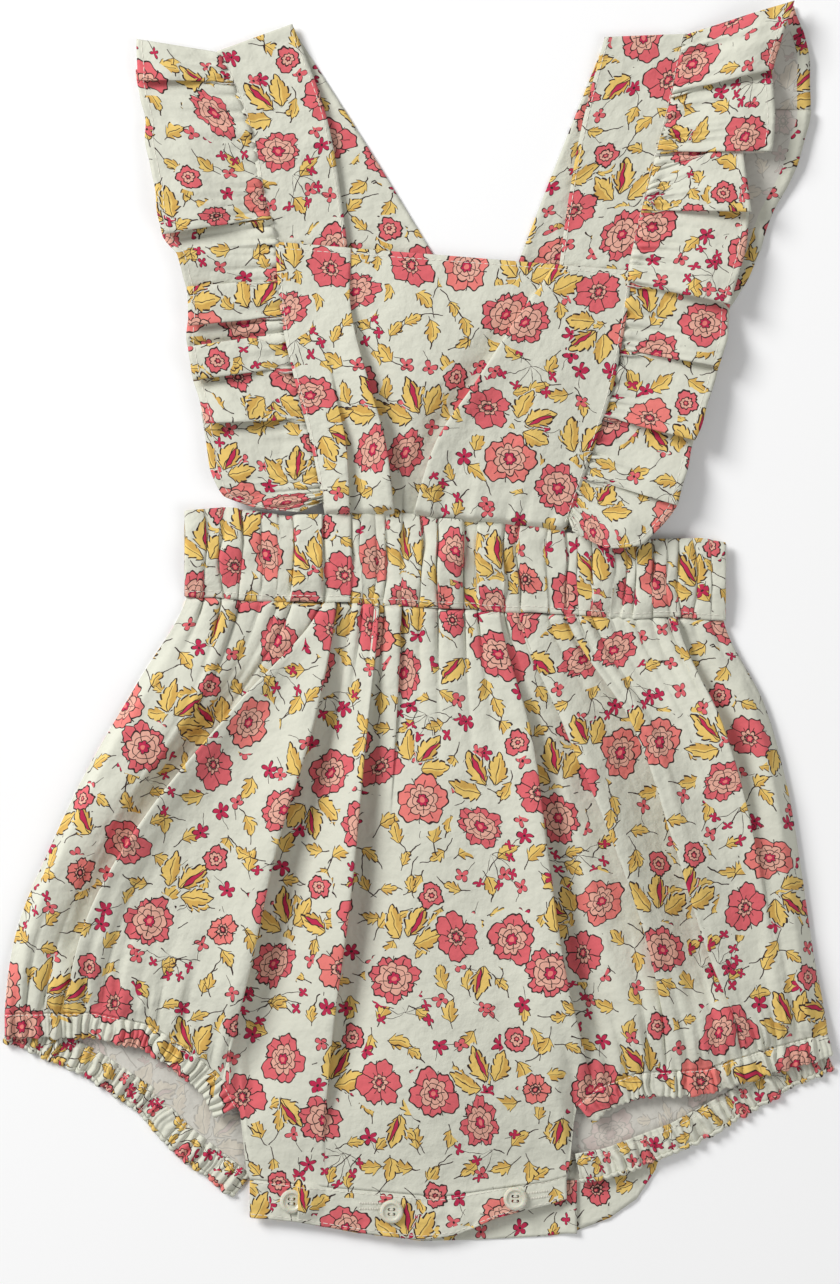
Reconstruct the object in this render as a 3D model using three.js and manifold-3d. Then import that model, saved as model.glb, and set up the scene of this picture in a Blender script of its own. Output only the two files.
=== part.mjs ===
import * as THREE from 'three';
import { mergeVertices } from 'three/addons/utils/BufferGeometryUtils.js';
import Module from 'manifold-3d';

// Baby romper laid flat on its back, front side up. Millimetres: +X to the viewer's right,
// +Y to the shoulders, +Z up from the surface. The origin is under the middle of the outline.

// Cloth and seams
const WALL = 1.2; // wall of one panel
const DOUBLE_WALL = 1.5; // wall of a turned and stitched strip
const SEAM_GAP = 0.3; // between two pieces at a seam, or one above another
const FOLD_RUN = 1.0; // run of a fold's edge from its top down to its foot
const NEXT_COLUMN = 1.8; // least way from a fold's foot to the next column

// Heights of the undersides above the surface
const FRONT_REST = 1.8; // front panels over the back ones
const FRONT_LEG_REST = 2.8; // front leg casings over the back ones
const STRAP_REST = 1.5; // front straps over the back straps
const CROSSING_REST = 1.5; // right back strap where it crosses the left one
const BIB_REST = 3.0; // bib over the straps

// Strips
const CASING_DEPTH = 9.4; // leg casing from its stitch line to its edge
const STRAP_TUCK = 8; // end of a front strap behind the bib

// Buttons
const BUTTON_RADIUS = 4.5;
const BUTTON_HEIGHT = 2.2;
const BUTTON_WELL = 0.7; // depth of the recessed middle
const BUTTON_HOLE_RADIUS = 0.6;
const BUTTON_HOLE_OFFSET = 0.9;
const BUTTON_SIDES = 24;

// Waistband: its top edge and the seam to the skirt, from the left end to the right end
const BAND = [
  { x: -89.4, top: 42.0, seam: 9.6 },
  { x: -74.0, top: 43.6, seam: 8.4 },
  { x: -50.0, top: 40.2, seam: 7.4 },
  { x: -27.0, top: 40.8, seam: 7.0 },
  { x: -6.0, top: 41.6, seam: 5.8 },
  { x: 5.0, top: 39.3, seam: 5.0 },
  { x: 38.0, top: 36.6, seam: 3.2 },
  { x: 64.0, top: 33.0, seam: 2.0 },
  { x: 84.0, top: 31.4, seam: 1.4 },
  { x: 106.0, top: 32.0, seam: 0.8 },
  { x: 116.0, top: 30.1, seam: 0.5 },
];

// Valleys between the front waistband's gathers
const FRONT_BAND_VALLEYS = [
  -82, -75.4, -68.6, -60.2, -54.1, -48.8, -37, -26, -21.9, -17.3, -13.5, -7, 0, 6.7, 16.9,
  21.9, 32.1, 37.8, 48.5, 54.9, 59.9, 65.2, 72.8, 77, 81.1, 88, 94, 98.4, 103.9, 110.4,
];

// Side edges of the skirt at equal steps from the waist to the leg
const SKIRT_SIDES = [
  { left: -88.6, right: 115.2 },
  { left: -106.7, right: 130.5 },
  { left: -125.1, right: 139.3 },
  { left: -140.3, right: 144.6 },
  { left: -153.0, right: 149.2 },
  { left: -157.6, right: 154.6 },
];

// Lower edge of the front skirt: left leg, crotch, right leg
const FRONT_HEM = [
  { x: -157.6, y: -148.5 },
  { x: -123.7, y: -148.1 },
  { x: -102.8, y: -152.6 },
  { x: -87.6, y: -161.8 },
  { x: -74.3, y: -174.4 },
  { x: -68.2, y: -186.1 },
  { x: -65.5, y: -211.2 },
  { x: -35.9, y: -214.2 },
  { x: 7.4, y: -218.0 },
  { x: 48.1, y: -212.3 },
  { x: 56.4, y: -210.0 },
  { x: 58.9, y: -183.4 },
  { x: 67.5, y: -176.2 },
  { x: 82.3, y: -171.0 },
  { x: 108.5, y: -169.5 },
  { x: 132.4, y: -161.6 },
  { x: 154.6, y: -155.8 },
];

// Lower edge of the back skirt. Right of the crotch it runs on under the leg casing.
const BACK_HEM = [
  { x: -157.6, y: -148.8 },
  { x: -141.6, y: -154.9 },
  { x: -122.9, y: -164.0 },
  { x: -102.8, y: -177.3 },
  { x: -88.3, y: -192.6 },
  { x: -70.5, y: -206.6 },
  { x: -64.0, y: -211.9 },
  { x: 0.0, y: -216.5 },
  { x: 56.4, y: -212.0 },
  { x: 58.4, y: -231.6 },
  { x: 72.0, y: -226.4 },
  { x: 82.3, y: -219.1 },
  { x: 89.5, y: -208.0 },
  { x: 94.5, y: -191.9 },
  { x: 118.4, y: -179.2 },
  { x: 137.0, y: -168.2 },
  { x: 154.6, y: -160.8 },
];

// Folds of the front skirt: x and lift at equal steps from the waist to the hem.
// on_top says which side of the line lies on top, none for a soft ridge.
const FRONT_FOLDS = [
  { x: [-75.4, -87.6, -114.2, -135.5, -144.6], lift: [1.0, 2.4, 2.8, 2.0, 0.8], on_top: 'none' },
  { x: [-37.4, -70.1, -102.0, -125.0, -134.5], lift: [1.8, 5.0, 6.0, 4.5, 1.8], on_top: 'right' },
  { x: [-31.6, -40.0, -53.5, -63.5, -73.6], lift: [2.2, 4.4, 5.0, 4.0, 2.2], on_top: 'left' },
  { x: [-25.4, -35.1, -47.8, -58.0, -68.2], lift: [0, 0, 0, 0, 0], on_top: 'none' },
  { x: [-22.6, -32.6, -45.2, -55.4, -65.5], lift: [0, 0, 0, 0, 0], on_top: 'none' },
  { x: [-15.4, -20.7, -26.0, -33.2, -37.4], lift: [1.5, 3.5, 4.5, 4.0, 2.2], on_top: 'left' },
  { x: [-7.0, -6.3, -6.3, -7.8, -9.3], lift: [2.2, 1.2, 0.3, 0.0, 0.0], on_top: 'left' },
  { x: [3.0, 3.2, 3.2, 3.2, 3.2], lift: [0.8, 0.7, 0.5, 0.7, 0.4], on_top: 'none' },
  { x: [14.5, 15.5, 17.3, 19.0, 20.0], lift: [0.6, 0.2, 0.0, 0.8, 0.4], on_top: 'none' },
  { x: [21.5, 33.0, 40.0, 46.5, 56.4], lift: [0, 0, 0, 0, 0], on_top: 'none' },
  { x: [24.2, 36.0, 43.0, 49.5, 58.9], lift: [0, 0, 0, 0, 0], on_top: 'none' },
  { x: [29.4, 42.2, 48.5, 55.3, 65.2], lift: [1.0, 3.0, 5.0, 5.0, 2.4], on_top: 'left' },
  { x: [37.0, 54.5, 72.8, 87.2, 94.0], lift: [0.8, 3.0, 3.5, 1.5, 0.3], on_top: 'right' },
  { x: [55.3, 80.4, 94.8, 107.7, 123.3], lift: [1.8, 4.0, 5.0, 4.0, 1.5], on_top: 'right' },
  { x: [97.1, 114.6, 126.0, 132.8, 138.5], lift: [1.8, 2.5, 1.2, 0.4, 0.2], on_top: 'left' },
  { x: [107.3, 124.5, 134.8, 141.0, 147.4], lift: [0.5, 1.0, 1.4, 1.0, 0.5], on_top: 'none' },
];
const FOLD_REACH_WAIST = 4; // how far a fold's lift reaches into the cloth on top
const FOLD_REACH_HEM = 15;

// Side edges of the bib at equal steps from its top to the waistband
const BIB_SIDES = [
  { left: -54.9, left_y: 144.2, right: 80.4, right_y: 133.3 },
  { left: -52.8, left_y: 117.0, right: 78.0, right_y: 114.5 },
  { left: -48.0, left_y: 94.0, right: 73.0, right_y: 89.0 },
  { left: -41.4, left_y: 68.5, right: 65.5, right_y: 66.0 },
  { left: -35.8, left_y: 41.0, right: 54.6, right_y: 34.6 },
];
const BIB_FOLDS = [
  { x: [-39.0, -37.5, -33.5, -28.0, -26.5], lift: [0.0, 0.0, 0.4, 1.2, 1.8], on_top: 'left' },
  { x: [-26.8, -25.8, -19.9, -13.0, -9.5], lift: [0.3, 1.0, 1.8, 2.6, 3.0], on_top: 'left' },
  { x: [52.0, 36.7, 21.1, 5.5, -3.0], lift: [0.2, 1.2, 2.0, 2.8, 3.0], on_top: 'right' },
  { x: [57.0, 47.0, 34.0, 24.5, 19.0], lift: [0.3, 0.8, 0.8, 1.4, 1.8], on_top: 'none' },
  { x: [62.0, 56.0, 48.0, 42.0, 35.0], lift: [0.2, 0.6, 1.2, 1.6, 1.0], on_top: 'none' },
];
const BIB_REACH = 9;

// Edges of the straps at equal steps from the shoulder down
const STRAPS = {
  left_front_strap: [
    { outer: [-77.0, 216.6], inner: [-48.5, 227.0] },
    { outer: [-65.6, 187.8], inner: [-37.0, 197.3] },
    { outer: [-60.0, 161.2], inner: [-31.0, 169.0] },
    { outer: [-52.4, 143.8 - STRAP_TUCK], inner: [-26.8, 143.8 - STRAP_TUCK] },
  ],
  right_front_strap: [
    { outer: [101.4, 223.2], inner: [70.1, 222.0] },
    { outer: [95.0, 193.2], inner: [61.8, 190.0] },
    { outer: [87.2, 164.0], inner: [56.6, 162.0] },
    { outer: [78.8, 135.0 - STRAP_TUCK], inner: [51.8, 135.4 - STRAP_TUCK] },
  ],
  left_back_strap: [
    { outer: [-76.6, 215.9], inner: [-48.9, 226.2] },
    { outer: [-41.4, 158.0], inner: [-12.2, 168.0] },
    { outer: [-6.5, 101.5], inner: [25.8, 104.0] },
    { outer: [29.6, 38.3], inner: [66.6, 34.0] },
  ],
  right_back_strap: [
    { outer: [101.2, 222.4], inner: [70.5, 221.3] },
    { outer: [79.0, 162.0], inner: [46.5, 160.5] },
    { outer: [56.2, 101.5], inner: [23.6, 100.0] },
    { outer: [32.4, 38.2], inner: [1.6, 41.0] },
  ],
};

// Ruffle folds from the shoulder to the waist: where the fold starts on the seam and where it
// ends on the hem, the lift of the cloth at the hem, and the lift past an edge where there is one.
const RUFFLES = {
  left_ruffle_front: [
    { seam_y: 216.4, hem: [-107.2, 221.0], lift: 1.2 },
    { seam_y: 205.0, hem: [-106.8, 204.9], lift: 4.5, past: 2.0 },
    { seam_y: 191.0, hem: [-105.0, 191.5], lift: 2.2 },
    { seam_y: 171.0, hem: [-102.6, 172.5], lift: 4.0 },
    { seam_y: 153.0, hem: [-97.7, 146.4], lift: 6.5, past: 1.0 },
    { seam_y: 140.0, hem: [-91.8, 139.5], lift: 4.2 },
    { seam_y: 130.0, hem: [-88.7, 127.0], lift: 2.6, past: 3.8 },
    { seam_y: 115.5, hem: [-88.2, 112.0], lift: 4.5, past: 1.4 },
    { seam_y: 109.5, hem: [-88.0, 104.2], lift: 1.0, past: 4.2 },
    { seam_y: 96.5, hem: [-85.6, 91.5], lift: 5.0, past: 1.8 },
    { seam_y: 76.5, hem: [-81.8, 75.0], lift: 5.6, past: 1.4 },
    { seam_y: 60.0, hem: [-79.0, 57.5], lift: 3.0 },
    { seam_y: 51.5, hem: [-73.8, 47.6], lift: 3.4 },
    { seam_y: 47.8, hem: [-62.0, 43.2], lift: 2.4 },
    { seam_y: 45.2, hem: [-45.5, 41.6], lift: 1.4 },
  ],
  right_ruffle_front: [
    { seam_y: 223.2, hem: [141.4, 235.2], lift: 4.0 },
    { seam_y: 212.0, hem: [137.0, 221.0], lift: 7.0 },
    { seam_y: 200.5, hem: [133.4, 209.0], lift: 5.0, past: 2.4 },
    { seam_y: 187.5, hem: [134.8, 195.0], lift: 4.8 },
    { seam_y: 178.0, hem: [132.6, 178.0], lift: 6.0, past: 2.0 },
    { seam_y: 168.0, hem: [121.6, 183.0], lift: 3.6 },
    { seam_y: 156.0, hem: [125.4, 155.0], lift: 6.2, past: 2.4 },
    { seam_y: 141.0, hem: [123.2, 138.5], lift: 4.4 },
    { seam_y: 128.0, hem: [117.4, 120.0], lift: 7.0, past: 1.2 },
    { seam_y: 112.0, hem: [116.6, 107.5], lift: 4.0 },
    { seam_y: 103.0, hem: [113.4, 96.5], lift: 4.8, past: 2.0 },
    { seam_y: 87.0, hem: [109.4, 84.0], lift: 4.2 },
    { seam_y: 77.5, hem: [104.2, 68.6], lift: 6.0, past: 2.0 },
    { seam_y: 66.0, hem: [101.2, 58.0], lift: 4.0 },
    { seam_y: 55.0, hem: [97.4, 44.0], lift: 5.0, past: 3.4 },
    { seam_y: 47.0, hem: [84.0, 29.4], lift: 6.2 },
    { seam_y: 42.0, hem: [70.0, 27.8], lift: 6.0 },
    { seam_y: 38.6, hem: [57.6, 34.4], lift: 5.6 },
  ],
  left_ruffle_back: [
    { seam_y: 215.5, hem: [-104.5, 219.0], lift: 0 },
    { seam_y: 197.0, hem: [-104.2, 199.0], lift: 0 },
    { seam_y: 179.0, hem: [-101.6, 180.0], lift: 0 },
    { seam_y: 161.0, hem: [-98.0, 158.0], lift: 0 },
    { seam_y: 144.0, hem: [-90.0, 138.0], lift: 0 },
    { seam_y: 128.0, hem: [-72.0, 117.0], lift: 0 },
    { seam_y: 116.0, hem: [-40.0, 106.5], lift: 0 },
  ],
  right_ruffle_back: [
    { seam_y: 222.0, hem: [142.4, 234.0], lift: 0 },
    { seam_y: 211.0, hem: [147.6, 214.0], lift: 1.4 },
    { seam_y: 194.5, hem: [147.8, 194.0], lift: 0.4, past: 1.2 },
    { seam_y: 178.5, hem: [143.6, 173.0], lift: 1.4 },
    { seam_y: 163.5, hem: [134.2, 156.0], lift: 0.4 },
    { seam_y: 146.5, hem: [129.0, 141.0], lift: 1.0 },
    { seam_y: 132.0, hem: [118.0, 119.5], lift: 0.2 },
    { seam_y: 114.0, hem: [82.0, 105.6], lift: 0 },
  ],
};

// Crotch: lower edges of the front and the back placket
const PLACKET = [
  { x: -64.6, front: -225.8, back: -226.0 },
  { x: -47.3, front: -227.5, back: -227.9 },
  { x: -22.6, front: -231.7, back: -232.3 },
  { x: 0.9, front: -234.5, back: -235.1 },
  { x: 14.0, front: -232.6, back: -234.8 },
  { x: 29.1, front: -226.0, back: -234.3 },
  { x: 49.2, front: -221.0, back: -233.1 },
  { x: 55.6, front: -218.8, back: -232.2 },
];

const BUTTONS = [
  { name: 'button_left', x: -48.8, y: -219.6, tilt: 0.1 },
  { name: 'button_middle', x: -10.8, y: -223.6, tilt: 0 },
  { name: 'button_right', x: 36.2, y: -218.6, tilt: -0.06 },
];

const clothMaterial = (colour) => new THREE.MeshStandardMaterial({ color: colour, roughness: 0.86 });
const PRINT = '#d9c3b0';
const PRINT_SHADE = '#cdb6a4';
const WRONG_SIDE = '#c9c4bb';
const PEARL = '#ece6d8';

const { lerp, clamp, smoothstep } = THREE.MathUtils;

// Smooth curve through values at equal steps of t from 0 to 1
function through(values, t) {
  const place = clamp(t, 0, 1) * (values.length - 1);
  const k = Math.min(Math.floor(place), values.length - 2);
  const f = place - k;
  const a = values[k];
  const b = values[k + 1];
  const slopeA = (b - values[Math.max(k - 1, 0)]) / 2;
  const slopeB = (values[Math.min(k + 2, values.length - 1)] - a) / 2;
  const f2 = f * f;
  const f3 = f2 * f;
  return a * (2 * f3 - 3 * f2 + 1) + slopeA * (f3 - 2 * f2 + f)
    + b * (3 * f2 - 2 * f3) + slopeB * (f3 - f2);
}

// Straight-line value of one column of a table sorted by x
function lookUp(table, column, x) {
  const last = table.length - 1;
  if (x <= table[0].x) return table[0][column];
  if (x >= table[last].x) return table[last][column];
  const k = table.findIndex((row) => row.x > x);
  const share = (x - table[k - 1].x) / (table[k].x - table[k - 1].x);
  return lerp(table[k - 1][column], table[k][column], share);
}

// Closed solid between two grids of points, one above the other
function sheetGeometry(under, top) {
  const rows = under.length;
  const columns = under[0].length;
  const position = [];
  for (const grid of [top, under]) {
    for (const row of grid) {
      for (const p of row) position.push(p.x, p.y, p.z);
    }
  }
  const topAt = (j, i) => j * columns + i;
  const underAt = (j, i) => rows * columns + j * columns + i;
  const index = [];
  const quad = (a, b, c, d) => index.push(a, b, c, a, c, d);
  for (let j = 0; j < rows - 1; j += 1) {
    for (let i = 0; i < columns - 1; i += 1) {
      const firstDiagonal = top[j][i].distanceTo(top[j + 1][i + 1]);
      const shift = firstDiagonal > top[j][i + 1].distanceTo(top[j + 1][i]) ? 1 : 0;
      const corners = [[j, i], [j + 1, i], [j + 1, i + 1], [j, i + 1]];
      const turned = corners.map((_, k) => corners[(k + shift) % corners.length]);
      quad(...turned.map(([r, c]) => topAt(r, c)));
      const [a, b, c, d] = turned.map(([r, c2]) => underAt(r, c2));
      index.push(a, c, b, a, d, c);
    }
  }
  for (let i = 0; i < columns - 1; i += 1) {
    quad(topAt(0, i + 1), underAt(0, i + 1), underAt(0, i), topAt(0, i));
    quad(topAt(rows - 1, i), underAt(rows - 1, i), underAt(rows - 1, i + 1), topAt(rows - 1, i + 1));
  }
  for (let j = 0; j < rows - 1; j += 1) {
    quad(topAt(j, 0), underAt(j, 0), underAt(j + 1, 0), topAt(j + 1, 0));
    quad(topAt(j + 1, columns - 1), underAt(j + 1, columns - 1), underAt(j, columns - 1),
      topAt(j, columns - 1));
  }
  const geometry = new THREE.BufferGeometry();
  geometry.setAttribute('position', new THREE.Float32BufferAttribute(position, 3));
  geometry.setIndex(volumeOf(position, index) > 0 ? index : index.slice().reverse());
  geometry.computeVertexNormals();
  return geometry;
}

// Signed volume: negative when the faces point inwards
function volumeOf(position, index) {
  const at = (k) => new THREE.Vector3().fromArray(position, 3 * index[k]);
  let volume = 0;
  for (let k = 0; k < index.length; k += 3) {
    volume += at(k).dot(at(k + 1).cross(at(k + 2))) / 6;
  }
  return volume;
}

// Upper grid of a wall: each row's points moved out, square to the row's own profile
function thickened(under, thickness) {
  return under.map((row) => row.map((p, i) => {
    const before = row[Math.max(i - 1, 0)];
    const after = row[Math.min(i + 1, row.length - 1)];
    const along = new THREE.Vector3(after.x - before.x, after.y - before.y, 0).normalize();
    const normal = new THREE.Vector2();
    for (const [a, b] of [[before, p], [p, after]]) {
      if (a === b) continue;
      const run = Math.max((b.x - a.x) * along.x + (b.y - a.y) * along.y, 0.05);
      const rise = b.z - a.z;
      const length = Math.hypot(run, rise);
      normal.x -= rise / length;
      normal.y += run / length;
    }
    const slant = normal.x / normal.y;
    const shift = thickness * clamp(slant, -0.95, 0.95);
    return new THREE.Vector3(p.x + along.x * shift, p.y + along.y * shift, p.z + thickness);
  }));
}

// Panel that lies flat on the surface: level underside, and a top with its own height
function flatPanel(points, heightAt) {
  const under = points.map((row) => row.map((p) => new THREE.Vector3(p.x, p.y, p.z)));
  const top = points.map((row) => row.map((p) => new THREE.Vector3(p.x, p.y, p.z + heightAt(p))));
  return sheetGeometry(under, top);
}

// Height that the folds give at x, for one line across a panel
function foldHeight(folds, x, t, reach) {
  let height = 0;
  for (const fold of folds) {
    const lift = Math.max(through(fold.lift, t), 0);
    const away = x - through(fold.x, t);
    const onTop = fold.on_top === 'right' ? away >= -1e-6 : away <= 1e-6;
    if (fold.on_top === 'none' || onTop) {
      height += lift * Math.exp(-((away / reach) ** 2));
    }
  }
  return height;
}

// Columns of a folded panel at share t of its length: side edges, fold edges, fold feet, and
// soft columns between them, each kept clear of the one before
function foldColumns(folds, left, right, t, spread) {
  const keys = [{ x: left, space: NEXT_COLUMN }];
  for (const fold of folds) {
    const x = through(fold.x, t);
    if (fold.on_top === 'right') keys.push({ x: x - FOLD_RUN, space: NEXT_COLUMN });
    keys.push({ x, space: fold.on_top === 'right' ? FOLD_RUN : NEXT_COLUMN, edge: true });
    if (fold.on_top === 'left') keys.push({ x: x + FOLD_RUN, space: FOLD_RUN });
  }
  keys.push({ x: right, space: NEXT_COLUMN });
  const columns = [keys[0].x];
  for (let k = 1; k < keys.length; k += 1) {
    const extra = keys[k].space === FOLD_RUN ? 0 : spread[k - 1];
    for (let n = 1; n <= extra; n += 1) {
      columns.push(lerp(keys[k - 1].x, keys[k].x, n / (extra + 1)));
    }
    columns.push(keys[k].x);
  }
  return columns;
}

// Soft columns wanted in each space between two keys, from the widest line of the panel
function foldSpread(folds, left, right, t, width) {
  const bare = foldColumns(folds, left, right, t, new Array(3 * folds.length + 2).fill(0));
  return bare.slice(1).map((x, k) => clamp(Math.round((x - bare[k]) / width) - 1, 0, 4));
}

function frontSkirtPoints() {
  const rows = 15;
  const softWidth = 9;
  const sides = (t) => ({
    left: through(SKIRT_SIDES.map((row) => row.left), t),
    right: through(SKIRT_SIDES.map((row) => row.right), t),
  });
  const widest = sides(0.7);
  const spread = foldSpread(FRONT_FOLDS, widest.left, widest.right, 0.7, softWidth);
  const waist = foldColumns(FRONT_FOLDS, sides(0).left, sides(0).right, 0, spread);
  const hem = foldColumns(FRONT_FOLDS, sides(1).left, sides(1).right, 1, spread);
  const under = [];
  for (let j = 0; j <= rows; j += 1) {
    const t = j / rows;
    const { left, right } = sides(t);
    const reach = lerp(FOLD_REACH_WAIST, FOLD_REACH_HEM, Math.sqrt(t));
    const columns = foldColumns(FRONT_FOLDS, left, right, t, spread);
    under.push(columns.map((x, i) => {
      const waistY = lookUp(BAND, 'seam', waist[i]) - SEAM_GAP / 2;
      const y = lerp(waistY, lookUp(FRONT_HEM, 'y', hem[i]), t);
      const overLeg = smoothstep(Math.abs(hem[i] + 4), 60, 72);
      const rest = FRONT_REST + (FRONT_LEG_REST - FRONT_REST) * overLeg * t ** 4;
      return new THREE.Vector3(x, y, rest + foldHeight(FRONT_FOLDS, x, t, reach));
    }));
  }
  return under;
}

function backSkirt() {
  const rows = 10;
  const columns = BACK_HEM.flatMap((row, k) => {
    if (k === 0) return [row.x];
    const count = clamp(Math.round((row.x - BACK_HEM[k - 1].x) / 14), 1, 4);
    return Array.from({ length: count }, (_, n) => lerp(BACK_HEM[k - 1].x, row.x, (n + 1) / count));
  });
  const first = columns[0];
  const last = columns[columns.length - 1];
  const points = [];
  for (let j = 0; j <= rows; j += 1) {
    const t = j / rows;
    const left = through(SKIRT_SIDES.map((row) => row.left), t);
    const right = through(SKIRT_SIDES.map((row) => row.right), t);
    points.push(columns.map((hemX) => {
      const share = (hemX - first) / (last - first);
      const straight = lerp(left, right, share);
      const x = lerp(straight, hemX, t ** 3);
      const waistX = lerp(SKIRT_SIDES[0].left, SKIRT_SIDES[0].right, share);
      const waistY = lookUp(BAND, 'seam', waistX) - SEAM_GAP / 2;
      return new THREE.Vector3(x, lerp(waistY, lookUp(BACK_HEM, 'y', hemX), t), 0);
    }));
  }
  return flatPanel(points, () => WALL);
}

function frontWaistband() {
  const rows = 5;
  const left = BAND[0].x;
  const right = BAND[BAND.length - 1].x;
  const valleys = [left, ...FRONT_BAND_VALLEYS, right];
  const columns = valleys.flatMap((x, k) => {
    if (k === 0) return [{ x, swell: 0 }];
    const width = x - valleys[k - 1];
    const swell = Math.min(0.3 * width, 2.4);
    const between = [0.3, 0.7].map((share) => ({ x: lerp(valleys[k - 1], x, share), swell }));
    return [...between, { x, swell: 0 }];
  });
  const under = [];
  for (let j = 0; j <= rows; j += 1) {
    const t = j / rows;
    under.push(columns.map(({ x, swell }, i) => {
      const slide = 0.8 * Math.sin(2.1 * t + 0.7 * i) * Math.sin(Math.PI * t);
      const y = lerp(lookUp(BAND, 'top', x), lookUp(BAND, 'seam', x) + SEAM_GAP / 2, t);
      const body = 0.55 + 0.45 * Math.sin(Math.PI * t);
      const inside = i > 0 && i < columns.length - 1 ? slide : 0;
      return new THREE.Vector3(x + inside, y, FRONT_REST + swell * body);
    }));
  }
  return sheetGeometry(under, thickened(under, WALL));
}

// Share of the way along a strip for each gather's ridge and valley, unevenly spaced
function gatherShares(count) {
  const shares = [0];
  for (let k = 1; k < 2 * count; k += 1) {
    shares.push((k + 0.35 * Math.sin(2.4 * k)) / (2 * count));
  }
  return [...shares, 1];
}

function backWaistband() {
  const gathers = 20;
  const rows = 3;
  const left = BAND[0].x + 0.5;
  const right = BAND[BAND.length - 1].x - 0.5;
  const shares = gatherShares(gathers);
  const points = [];
  for (let j = 0; j <= rows; j += 1) {
    points.push(shares.map((share, i) => {
      const x = lerp(left, right, share);
      const top = lookUp(BAND, 'top', x) - 0.6;
      const y = lerp(top, lookUp(BAND, 'seam', x) + SEAM_GAP / 2, j / rows);
      const point = new THREE.Vector3(x, y, 0);
      point.ridge = i % 2;
      return point;
    }));
  }
  return flatPanel(points, (p) => WALL - 0.1 + 0.3 * p.ridge);
}

// Points of a casing: a strip along a stretch of a hem, moved out from it
function casingPoints(hem, fromX, toX, gathers, restAt) {
  const path = new THREE.CurvePath();
  const inside = hem.filter((row) => row.x > fromX && row.x < toX);
  const corners = [fromX, ...inside.map((row) => row.x), toX]
    .map((x) => new THREE.Vector2(x, lookUp(hem, 'y', x)));
  corners.slice(1).forEach((corner, k) => path.add(new THREE.LineCurve(corners[k], corner)));
  const depths = [1.5 * SEAM_GAP, CASING_DEPTH / 2, CASING_DEPTH];
  return depths.map((depth, j) => gatherShares(gathers).map((share, i) => {
    const p = path.getPointAt(share);
    const ahead = path.getPointAt(Math.min(share + 0.05, 1));
    const tangent = ahead.sub(path.getPointAt(Math.max(share - 0.05, 0))).normalize();
    const ridge = i % 2;
    const scallop = j === 2 ? 0.5 * ridge : 0;
    const out = depth + scallop;
    const point = new THREE.Vector3(p.x + tangent.y * out, p.y - tangent.x * out, 0);
    point.z = restAt(point, ridge);
    point.ridge = ridge;
    return point;
  }));
}

function frontCasing(hem, fromX, toX, gathers) {
  const ripple = 1.1;
  const under = casingPoints(hem, fromX, toX, gathers, (p, ridge) => FRONT_LEG_REST + ripple * ridge);
  return sheetGeometry(under, thickened(under, WALL));
}

function backCasing(fromX, toX, gathers, hem, restAt) {
  const points = casingPoints(hem, fromX, toX, gathers, restAt);
  return flatPanel(points, (p) => WALL - 0.2 + 0.9 * p.ridge);
}

// Inner edge of the right back casing, which lies on the back panel near the crotch
const RIGHT_BACK_LEG = [
  { x: 59.0, y: -203.2 },
  { x: 70.5, y: -201.0 },
  { x: 82.7, y: -196.4 },
  { x: 96.0, y: -191.4 },
  { x: 118.4, y: -179.2 },
  { x: 137.0, y: -168.2 },
  { x: 154.6, y: -160.8 },
];

function frontBib() {
  const rows = 10;
  const softWidth = 12;
  const edge = (column, t) => through(BIB_SIDES.map((row) => row[column]), t);
  const spread = foldSpread(BIB_FOLDS, edge('left', 0.3), edge('right', 0.3), 0.3, softWidth);
  const under = [];
  for (let j = 0; j <= rows; j += 1) {
    const t = j / rows;
    const left = edge('left', t);
    const right = edge('right', t);
    const columns = foldColumns(BIB_FOLDS, left, right, t, spread);
    under.push(columns.map((x) => {
      const share = (x - left) / (right - left);
      const straight = lerp(edge('left_y', t), edge('right_y', t), share);
      const end = lerp(edge('left_y', 1), edge('right_y', 1), share);
      const y = straight + t ** 3 * (lookUp(BAND, 'top', x) + SEAM_GAP - end);
      return new THREE.Vector3(x, y, BIB_REST + foldHeight(BIB_FOLDS, x, t, BIB_REACH));
    }));
  }
  return sheetGeometry(under, thickened(under, WALL));
}

function strap(name, restAt) {
  const rows = 10;
  const shares = [0, 0.35, 0.7, 1];
  const table = STRAPS[name];
  const edge = (side, axis, t) => through(table.map((row) => row[side][axis]), t);
  const points = [];
  for (let j = 0; j <= rows; j += 1) {
    const t = j / rows;
    points.push(shares.map((share) => {
      const x = lerp(edge('outer', 0, t), edge('inner', 0, t), share);
      const y = lerp(edge('outer', 1, t), edge('inner', 1, t), share);
      return new THREE.Vector3(x, y, restAt(x, y));
    }));
  }
  return flatPanel(points, () => WALL);
}

// Table of x by rising height for the outer edge of a strap, and of a bib side below it
function outerEdge(strapName, bibSide) {
  const count = 24;
  const edge = [];
  const strapRows = STRAPS[strapName];
  for (let k = 0; k <= count; k += 1) {
    const t = k / count;
    const y = through(strapRows.map((row) => row.outer[1]), t);
    const bibTop = bibSide ? BIB_SIDES[0][`${bibSide}_y`] : -Infinity;
    if (y > bibTop) edge.push({ x: y, edge: through(strapRows.map((row) => row.outer[0]), t) });
  }
  for (let k = 0; bibSide && k <= count; k += 1) {
    const t = k / count;
    edge.push({
      x: through(BIB_SIDES.map((row) => row[`${bibSide}_y`]), t),
      edge: through(BIB_SIDES.map((row) => row[bibSide]), t),
    });
  }
  return edge.sort((a, b) => a.x - b.x);
}

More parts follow.
